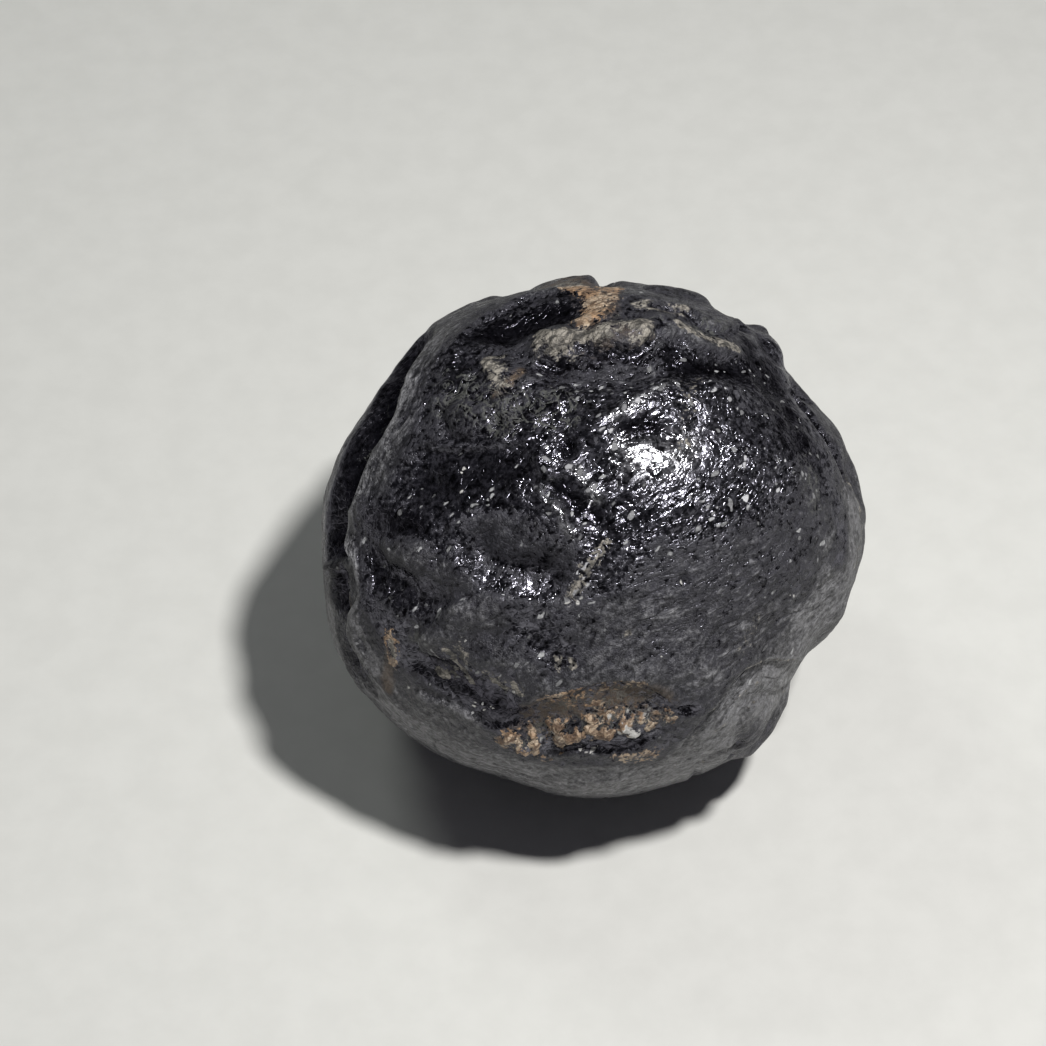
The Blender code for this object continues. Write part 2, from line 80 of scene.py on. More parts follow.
# Features: (kind, sizes in mm, path). The sizes are half a width and a height or depth. A ledge
# has two widths, of its upper side, which is on the left of its path, and of its lower side.
# On the side that the photograph shows, a path is in its pixels.
SEEN = {
    "left trough": ("hollow", 2.7, 1.5, [
        (410, 352), (391, 396), (372, 430), (357, 463), (344, 497), (338, 532)]),
    "left pocket": ("hollow", 1.3, 0.7, [(338, 578), (338, 604)]),
    "left step": ("ledge", 4.0, 1.5, 1.0, [
        (428, 338), (416, 373), (409, 402), (396, 432), (378, 456), (368, 480), (361, 502), (350, 519),
        (349, 540), (357, 562), (361, 590), (352, 628), (366, 660), (386, 692)]),
    "left crest": ("ridge", 0.7, 0.55, [
        (428, 338), (416, 373), (409, 402), (396, 432), (378, 456), (368, 480), (361, 502), (350, 519),
        (349, 540), (357, 562), (361, 590), (352, 628), (367, 662), (386, 692), (412, 724)]),
    "left cross ridge": ("ridge", 0.4, 0.4, [(325, 571), (335, 562), (348, 553)]),
    "left flank": ("hollow", 3.6, 0.12, [(320, 490), (318, 540), (319, 570)]),
    "left outer ridge": ("ridge", 0.5, 0.3, [(331, 612), (341, 644), (354, 674), (370, 700)]),
    "lower left groove": ("hollow", 0.8, 0.35, [(345, 640), (356, 666), (374, 692)]),
    "top knob": ("swelling", 2.4, 0.5, [(552, 283), (592, 282)]),
    "top notch": ("hollow", 1.3, 1.35, [(599, 278), (612, 284)]),
    "top right brow": ("swelling", 2.0, 0.35, [(664, 288), (692, 295)]),
    "hollow by the top knob": ("hollow", 2.2, 0.9, [(506, 328), (532, 318), (562, 313)]),
    "rim over that hollow": ("ledge", 2.0, 1.2, 0.5, [
        (456, 388), (461, 360), (464, 338), (478, 320), (506, 309), (540, 298), (572, 298), (588, 306)]),
    "pale top lump": ("swelling", 1.3, 0.55, [(541, 345), (562, 342)]),
    "pale right lump": ("swelling", 1.3, 0.5, [(606, 338), (634, 338)]),
    "top ledge": ("ledge", 2.2, 1.6, 1.1, [
        (522, 362), (537, 358), (556, 355), (567, 346), (580, 342), (598, 346), (620, 351), (640, 351),
        (652, 340), (656, 328)]),
    "right ledge": ("ledge", 1.6, 1.5, 0.9, [
        (652, 356), (666, 345), (682, 341), (698, 350), (718, 354), (736, 354), (750, 358)]),
    "upper ledge": ("ledge", 1.4, 1.0, 0.7, [
        (632, 312), (648, 309), (668, 311), (690, 314), (704, 325), (722, 330), (744, 326)]),
    "right knob": ("swelling", 1.9, 0.75, [(762, 336), (771, 352)]),
    "right notch": ("hollow", 1.5, 0.8, [(716, 302), (728, 314), (737, 321)]),
    "notch over the right crease": ("hollow", 2.2, 0.8, [(798, 373), (811, 388)]),
    "kink in that notch": ("hollow", 1.3, 0.6, [(799, 388), (804, 393)]),
    "rise left of the knob": ("swelling", 1.3, 0.35, [(755, 327), (760, 331)]),
    "shelf under the ledges": ("hollow", 2.0, 0.6, [
        (556, 366), (610, 372), (652, 372), (690, 366), (734, 368)]),
    "dome shoulder": ("swelling", 2.6, 0.45, [(600, 430), (636, 414), (672, 398), (712, 390)]),
    "dome crown": ("swelling", 6.0, 0.4, [(668, 452), (676, 449)]),
    "right side of the dome": ("swelling", 5.5, 0.7, [(748, 420), (756, 440)]),
    "dome edge": ("ridge", 0.8, 0.38, [
        (572, 436), (592, 424), (616, 414), (642, 402), (662, 391), (682, 380)]),
    "dent on the dome": ("hollow", 1.2, 0.34, [(624, 432), (650, 428), (664, 434)]),
    "small pit by the dome": ("hollow", 0.7, 0.45, [(566, 440), (571, 452)]),
    "upper short ridge": ("ridge", 0.5, 0.3, [(560, 464), (580, 480), (603, 500)]),
    "lower short ridge": ("ridge", 0.5, 0.35, [(536, 488), (552, 505), (564, 520), (574, 538)]),
    "hollow between them": ("hollow", 1.3, 0.3, [(556, 488), (580, 505), (600, 514)]),
    "bright lump": ("swelling", 0.9, 0.3, [(540, 455), (550, 472)]),
    "ring lump": ("swelling", 1.5, 0.4, [(462, 412), (476, 418)]),
    "groove round it": ("hollow", 0.5, 0.25, [
        (444, 412), (448, 430), (466, 441), (486, 436), (494, 420), (488, 400)]),
    "pale patch": ("swelling", 1.0, 0.35, [(487, 362), (497, 382)]),
    "edge of the upper left": ("ledge", 2.6, 1.4, 0.5, [
        (408, 452), (434, 446), (462, 448), (490, 446), (520, 444), (544, 434)]),
    "dark left dish": ("hollow", 2.8, 0.4, [(418, 486), (475, 482)]),
    "middle thumbprint": ("hollow", 2.2, 0.9, [(482, 548), (512, 560), (544, 572)]),
    "its upper swell": ("swelling", 1.3, 0.3, [(500, 544), (546, 554)]),
    "its lower lip": ("ledge", 1.8, 1.0, 0.5, [
        (566, 600), (544, 600), (518, 596), (494, 588), (474, 576), (463, 556), (458, 536)]),
    "left knuckle": ("swelling", 1.7, 0.5, [(394, 554), (420, 556)]),
    "hollow under the left knuckle": ("hollow", 2.0, 0.6, [(384, 572), (406, 588), (434, 602)]),
    "left shoulder": ("swelling", 1.9, 0.5, [(434, 644), (454, 618), (486, 610)]),
    "edge of the shoulder": ("ledge", 1.6, 1.2, 0.55, [
        (480, 598), (456, 600), (438, 614), (422, 638), (412, 662)]),
    "low middle dish": ("hollow", 2.2, 0.35, [(494, 634), (536, 640)]),
    "lower left thumbprint": ("hollow", 2.5, 0.55, [(430, 666), (462, 684), (500, 700)]),
    "lip of it": ("ledge", 2.4, 1.1, 0.45, [
        (526, 720), (504, 724), (482, 722), (466, 712), (448, 703), (424, 697), (404, 690)]),
    "small low lump": ("swelling", 0.8, 0.25, [(492, 654), (504, 658)]),
    "earthy hollow": ("hollow", 2.2, 0.6, [(536, 724), (570, 716), (606, 710), (644, 708)]),
    "upper lip of it": ("ledge", 1.5, 1.1, 0.45, [
        (500, 728), (520, 711), (542, 700), (572, 690), (608, 682), (642, 684), (664, 698), (672, 716)]),
    "lower lip of it": ("ledge", 1.8, 0.9, 0.5, [
        (676, 722), (660, 734), (640, 746), (612, 753), (584, 752), (554, 752), (524, 758)]),
    "lump in it": ("swelling", 0.55, 0.35, [(622, 730), (634, 736)]),
    "shoulder above it": ("swelling", 1.4, 0.15, [(556, 686), (592, 668), (640, 672), (704, 664)]),
    "pit beside it": ("hollow", 0.6, 0.4, [(681, 709), (685, 707)]),
    "small pit on the dome": ("hollow", 0.5, 0.3, [(681, 580), (683, 583)]),
    "facet edge": ("ledge", 3.2, 2.4, 0.6, [
        (640, 788), (664, 766), (686, 742), (702, 714), (722, 696), (734, 680), (752, 669), (778, 662),
        (806, 656)]),
    "brow over the facet": ("swelling", 2.2, 0.5, [(834, 612), (822, 636)]),
    "notch under the brow": ("hollow", 1.5, 0.3, [(798, 672), (792, 686)]),
    "facet lobe": ("swelling", 1.8, 0.35, [(766, 716), (754, 736)]),
    "outer facet lobe": ("swelling", 2.1, 0.75, [(790, 700), (776, 724), (750, 750)]),
    "facet crease": ("hollow", 0.7, 0.35, [(788, 688), (766, 697), (748, 713), (740, 735), (732, 758)]),
    "second facet crease": ("hollow", 0.6, 0.25, [(690, 784), (702, 768), (720, 754), (738, 748)]),
    "bottom lobe": ("swelling", 1.9, 0.3, [(572, 784), (606, 782)]),
    "right crease": ("hollow", 0.9, 0.65, [(797, 394), (812, 413), (824, 432), (838, 452), (848, 474)]),
    "right lobe": ("swelling", 1.4, 0.15, [(822, 412), (838, 436)]),
    "dent below the crease": ("hollow", 1.7, 0.6, [(852, 470), (858, 488)]),
    "right rough patch": ("swelling", 1.5, 0.2, [(800, 478), (808, 498)]),
}
# On the hidden sides, a path is in degrees of azimuth and elevation.
HIDDEN = {
    "back left dish": ("hollow", 4.0, 1.0, [(232, 16), (250, 2)]),
    "back thumbprint": ("hollow", 2.8, 0.9, [(178, 30), (192, 16)]),
    "back low dish": ("hollow", 3.6, 0.8, [(140, -10), (158, -18)]),
    "right low dish": ("hollow", 3.0, 0.7, [(75, -30), (92, -20)]),
    "right side thumbprint": ("hollow", 2.2, 0.7, [(124, 4), (136, -4)]),
    "left low trough": ("hollow", 2.2, 0.7, [(262, -14), (284, -26), (305, -36)]),
    "back right pit": ("hollow", 1.1, 0.6, [(152, 24), (156, 21)]),
    "front low dish": ("hollow", 2.8, 0.5, [(350, -50), (24, -50)]),
    "back brow": ("swelling", 3.0, 0.7, [(160, 6), (178, 0), (198, -2)]),
    "back left knuckle": ("swelling", 2.4, 0.7, [(214, 6), (226, -2)]),
    "right brow": ("swelling", 2.4, 0.6, [(106, -10), (120, -16)]),
    "left brow": ("swelling", 2.4, 0.5, [(256, -6), (270, -16)]),
    "back top lump": ("swelling", 2.0, 0.5, [(206, 30), (220, 24)]),
    "back seam": ("ridge", 0.8, 0.5, [(142, 26), (138, 12), (130, -4), (132, -22)]),
    "back left seam": ("ridge", 0.7, 0.45, [(240, 24), (226, 18), (214, 8), (208, -4)]),
    "low seam": ("ridge", 0.7, 0.4, [(170, -26), (200, -20), (228, -26), (250, -24)]),
    "back ledge": ("ledge", 3.0, 1.6, 1.0, [
        (146, 20), (160, 16), (174, 14), (190, 8), (208, 12), (222, 24)]),
    "right ledge": ("ledge", 2.6, 1.4, 0.7, [(98, -22), (114, -12), (128, -8), (144, 2)]),
    "left ledge": ("ledge", 2.6, 1.4, 0.7, [(266, -18), (252, -4), (242, 8), (228, 22)]),
    "low back ledge": ("ledge", 2.2, 1.4, 0.7, [(246, -12), (224, -8), (204, -12), (184, -6)]),
}
# More like them, drawn over the hidden sides: (kind, lowest sizes in mm, highest sizes in mm).
DRAWN = (
    ("hollow", (0.8, 0.2), (2.4, 0.5)),
    ("hollow", (0.6, 0.2), (1.2, 0.4)),
    ("swelling", (0.8, 0.15), (2.0, 0.4)),
    ("ridge", (0.4, 0.15), (0.7, 0.35)),
    ("ledge", (1.2, 0.8, 0.2), (2.4, 1.4, 0.5)),
)
DRAWS = 60
DRAW_SEED = 11
# Their middles' heights on a ball of radius 1, their paths' numbers of points and the steps and
# bends between these, in degrees and in radians.
DRAWN_HEIGHTS = (-0.9, 0.8)
DRAWN_POINTS = (2, 4)
DRAWN_STEP = (5, 14)
DRAWN_BEND = 0.6
STEEPEST = 80
POLE_LIMIT = 0.3
SEEN_MARGIN = 0.003
PATH_STEPS = 5
PATH_TAPER = 0.2
RIDGE_POWER = 1.2
LEDGE_LIP = 0.16
REACH = 4.5

# Fine features of the skin, in the same form, which only this mesh is dense enough for.
FINE = {
    "raised scratch": ("ridge", 0.22, 0.12, [(607, 538), (597, 552), (588, 566), (578, 584), (570, 598)]),
    "end of the scratch": ("ridge", 0.2, 0.06, [(570, 598), (564, 618), (560, 642)]),
    "band under the top ledge": ("ridge", 0.3, 0.14, [
        (556, 356), (580, 354), (604, 358), (626, 362), (648, 358), (664, 348)]),
    "second band": ("ridge", 0.3, 0.1, [(588, 366), (612, 368), (636, 369), (658, 362), (676, 352)]),
    "third band": ("ridge", 0.3, 0.09, [(604, 378), (628, 378), (650, 374), (668, 364)]),
    "bright top ridge": ("ridge", 0.3, 0.22, [(648, 331), (660, 325), (672, 319), (686, 314)]),
    "second top ridge": ("ridge", 0.3, 0.2, [(658, 342), (668, 333), (678, 327)]),
    "edge of the pale lump": ("ridge", 0.3, 0.15, [(534, 332), (543, 330), (550, 338)]),
    "left sliver": ("ridge", 0.2, 0.14, [(409, 556), (412, 568), (418, 582)]),
    "left sliver above": ("ridge", 0.2, 0.12, [(381, 494), (383, 504), (381, 514)]),
    "thumbprint sliver": ("ridge", 0.2, 0.12, [(466, 540), (472, 550), (476, 562)]),
    "lobe ridge": ("ridge", 0.35, 0.16, [
        (800, 680), (776, 690), (758, 704), (746, 722), (738, 744), (734, 758)]),
    "inner facet ridge": ("ridge", 0.35, 0.12, [
        (770, 682), (750, 690), (738, 700), (728, 716), (716, 728), (700, 738)]),
    "low facet ridge": ("ridge", 0.3, 0.12, [(712, 700), (700, 722), (690, 744), (676, 764)]),
    "dome dimple": ("hollow", 0.5, 0.12, [(612, 452), (618, 456)]),
    "bottom plate": ("ridge", 0.3, 0.14, [
        (546, 785), (560, 776), (580, 768), (604, 766), (624, 772), (636, 780)]),
    "crest strand": ("ridge", 0.25, 0.2, [
        (352, 524), (352, 544), (361, 562), (367, 592), (358, 628), (372, 664)]),
    "inner crest strand": ("ridge", 0.22, 0.16, [(344, 552), (340, 572), (343, 600), (350, 622)]),
    "brown line": ("ridge", 0.2, 0.1, [(626, 690), (620, 706), (606, 714)]),
    "wavy brown line": ("ridge", 0.2, 0.08, [(580, 694), (604, 688), (630, 684), (650, 694), (656, 706)]),
}

# Unevenness of the whole, as in the solid, then finer waves: (size of the waves, height), in mm.
UNEVENNESS = ((9.0, 0.5), (4.0, 0.24), (2.0, 0.1))
FINE_UNEVENNESS = ((1.1, 0.16), (0.6, 0.07))
UNEVEN_SEED = Vector((3.1, 7.7, 1.3))
CALM_BAND = 7.0
CALMEST = 0.12
WANDER = ((5.0, 0.3), (1.6, 0.22))
WANDER_SEEDS = (Vector((5.2, 1.9, 8.4)), Vector((9.6, 4.3, 2.2)), Vector((0.8, 6.5, 3.7)))
# The smooth dome: half width in mm, how much calmer, path.
DOME = (8.0, 0.85, [(640, 474), (720, 452)])

# Where the skin is rugged, with creases: (half width in mm, how rugged, path).
PLAIN_RUGGEDNESS = 0.25
CREASE_SEED = Vector((11.3, 2.9, 5.1))
CREASES = ((1.5, 0.34), (0.75, 0.15))
CREASE_EDGE = 0.3
RUGGED = {
    "upper left": (4.0, 1.0, [(450, 390), (500, 410), (560, 410)]),
    "top": (3.0, 0.8, [(540, 330), (600, 320), (660, 318), (720, 336)]),
    "shelf": (2.6, 0.6, [(540, 375), (600, 385), (660, 365), (730, 372)]),
    "left of the dome": (3.0, 0.8, [(530, 450), (560, 500), (590, 530)]),
    "dark left": (4.0, 0.55, [(400, 470), (460, 490), (510, 500)]),
    "dome": (4.0, 0.35, [(600, 440), (680, 430), (740, 430)]),
    "right": (3.0, 0.8, [(770, 390), (800, 450), (816, 500)]),
    "under the knuckle": (2.2, 0.6, [(384, 572), (406, 588), (434, 602)]),
    "low middle": (3.0, 0.5, [(430, 670), (480, 690), (520, 660), (570, 650)]),
    "earthy hollow": (1.8, 0.8, [(520, 742), (570, 738), (650, 726)]),
    "facet": (3.2, 0.5, [(790, 674), (750, 704), (716, 744), (680, 770)]),
}

# The rough fringe along the low edge of the earthy hollow: short ridges across this run, how far
# they lie off it, reach and lean, in pixels, and their half widths and heights, in mm.
FRINGE = [(506, 738), (536, 738), (566, 733), (596, 729), (626, 725), (660, 722)]
FRINGE_RIDGES = 38
FRINGE_SEED = 5
FRINGE_ASIDE = (-3, 3)
FRINGE_BELOW = (-9, 9)
FRINGE_REACH = (4, 8)
FRINGE_LEAN = (-3, 5)
FRINGE_WIDTHS = (0.18, 0.32)
FRINGE_HEIGHTS = (0.2, 0.42)
FRINGE_STAIN = 0.32

# Runs of fine parallel strands in the skin: (half width in mm, path along them).
STRANDS = {
    "left crest": (4.2, [
        (470, 306), (440, 340), (420, 385), (404, 420), (380, 452), (370, 490), (356, 530), (360, 580),
        (352, 630), (376, 690), (420, 738), (480, 770)]),
    "left rim": (1.6, [(400, 352), (366, 404), (336, 456), (324, 500), (322, 560), (330, 630)]),
    "top rim": (1.8, [(452, 314), (490, 302), (530, 296)]),
    "under the top ledge": (2.0, [(556, 358), (606, 370), (646, 372), (670, 352), (692, 336)]),
    "low right": (6.0, [(600, 640), (660, 612), (730, 580), (800, 540)]),
    "lower low right": (3.5, [(680, 664), (740, 640), (810, 604), (846, 570)]),
    "low side": (3.0, [(420, 740), (480, 764), (560, 786)]),
    "facet": (3.0, [(806, 664), (760, 682), (730, 712), (706, 748), (672, 782)]),
}

# How grey the skin is, from black and glossy at 0 to dusty and matt at 1: (half width in mm, level,
# path), each painted over the ones before it.
PLAIN_LEVEL = 0.42
GREY_CORE = 1.35
GREY = {
    "low right": (6.5, 0.43, [(620, 590), (700, 600), (780, 600)]),
    "right": (4.5, 0.84, [(850, 530), (830, 600), (790, 650)]),
    "below the dome": (4.0, 0.54, [(620, 650), (700, 655), (760, 630)]),
    "low middle": (4.5, 0.52, [(460, 640), (520, 640), (580, 660)]),
    "low side": (4.5, 0.82, [(400, 720), (460, 755), (540, 775), (620, 785), (690, 770)]),
    "facet": (3.6, 1.0, [(812, 672), (756, 700), (722, 736), (680, 775)]),
    "upper left": (3.6, 0.42, [(450, 395), (500, 412), (566, 410)]),
    "left trough": (3.8, 0.12, [(404, 352), (388, 396), (366, 430), (350, 463), (338, 497), (333, 528)]),
    "crest": (2.2, 0.6, [
        (440, 330), (414, 390), (380, 462), (360, 540), (357, 600), (370, 650), (400, 705)]),
    "rim strand": (0.5, 1.15, [
        (345, 625), (356, 646), (368, 668), (382, 692), (402, 716), (430, 742), (468, 764)]),
    "inner rim strand": (0.4, 1.0, [(357, 606), (366, 640), (380, 668), (396, 694)]),
    "outer crest strand": (0.4, 1.0, [(346, 560), (338, 580), (338, 604), (345, 625)]),
    "crest's edge": (0.8, 1.15, [(349, 519), (347, 540), (356, 562), (361, 590), (352, 628), (374, 668)]),
    "outermost left": (0.5, 0.7, [(400, 352), (368, 396), (338, 446), (322, 500), (320, 560)]),
    "lower left rim": (2.4, 0.86, [(330, 620), (350, 680), (390, 722), (450, 764)]),
    "top rim": (2.0, 0.5, [(450, 325), (500, 303), (545, 290)]),
    "dome": (6.0, 0.0, [(600, 440), (660, 420), (724, 420)]),
    "lower dome": (5.2, 0.04, [(600, 480), (690, 480), (770, 450)]),
    "right of the dome": (4.6, 0.06, [(762, 346), (790, 400), (808, 446)]),
    "fading dome": (3.0, 0.46, [(630, 574), (700, 566), (764, 544)]),
    "shelf": (2.2, 0.2, [(556, 372), (610, 378), (680, 372), (740, 372)]),
    "under the top ledge": (1.9, 0.46, [(546, 362), (606, 366), (646, 364), (670, 350)]),
    # Painted shade: black skin under the right ledge, where shade falls.
    "painted shade under the right ledge": (1.0, 0.02, [(672, 356), (700, 362), (736, 362)]),
    "dark left dish": (4.4, 0.02, [(436, 484), (470, 484), (520, 475)]),
    "crest band": (1.7, 0.66, [
        (452, 322), (432, 350), (420, 390), (404, 430), (386, 462), (376, 490), (364, 525)]),
    "short ridges": (3.2, 0.02, [(540, 452), (558, 500), (575, 536)]),
    "below them": (2.6, 0.2, [(596, 520), (622, 545), (604, 575)]),
    "upper hollow": (2.3, 0.16, [(478, 340), (506, 326), (552, 314)]),
    "left of the pale patch": (1.8, 0.14, [(462, 348), (462, 380)]),
    "left pocket": (1.3, 0.15, [(338, 575), (340, 610)]),
    "above the knuckle": (2.4, 0.16, [(376, 520), (420, 528), (456, 548)]),
    "below the left knuckle": (2.4, 0.2, [(380, 572), (408, 592), (440, 604)]),
    "left knuckle": (1.4, 0.5, [(388, 556), (414, 550), (436, 562), (462, 590)]),
    "thumbprint": (2.6, 0.46, [(486, 530), (520, 542), (556, 552)]),
    "thumbprint's edge": (1.0, 0.2, [(470, 566), (484, 578), (510, 588), (544, 592)]),
    "dark low middle": (2.2, 0.16, [(500, 616), (540, 628), (556, 650)]),
    "low dark": (2.8, 0.04, [(424, 662), (456, 682), (500, 702)]),
    "plate below it": (1.3, 0.66, [(408, 704), (440, 714), (472, 730)]),
    "edge of that plate": (0.6, 0.7, [(400, 690), (424, 696), (450, 704), (480, 722)]),
    "left of the shoulder": (2.0, 0.14, [(376, 604), (392, 628), (404, 652)]),
    "shoulder": (2.1, 0.52, [(424, 645), (440, 622), (456, 604), (492, 612)]),
    "small plate": (1.1, 0.5, [(492, 650), (506, 654)]),
    "band over the earthy hollow": (1.5, 0.56, [(550, 692), (600, 672), (660, 668), (712, 674)]),
    "earthy hollow": (2.0, 0.45, [(536, 716), (580, 704), (640, 700)]),
    "its rough low edge": (1.2, 0.1, [(516, 744), (570, 742), (620, 742), (650, 732)]),
    "bottom plates": (1.6, 0.84, [(566, 778), (600, 774), (640, 784)]),
    "dark over them": (0.9, 0.42, [(528, 758), (560, 762), (600, 762)]),
    "pit beside the hollow": (1.0, 0.2, [(662, 706), (690, 705)]),
    "lens": (1.5, 0.6, [(615, 612), (665, 614)]),
    "second lens": (1.3, 0.52, [(606, 642), (640, 650)]),
    "rough patch": (2.1, 0.5, [(800, 470), (812, 505)]),
    "crease": (0.8, 0.04, [(800, 404), (826, 440), (846, 470)]),
    "dark right": (2.2, 0.12, [(788, 396), (800, 424), (812, 452)]),
    "lower right dark": (1.6, 0.3, [(826, 476), (842, 516), (838, 556)]),
    "beyond the crease": (1.2, 0.62, [(822, 408), (848, 448), (860, 490)]),
    "top right": (1.8, 0.26, [(640, 294), (690, 302), (726, 322)]),
}
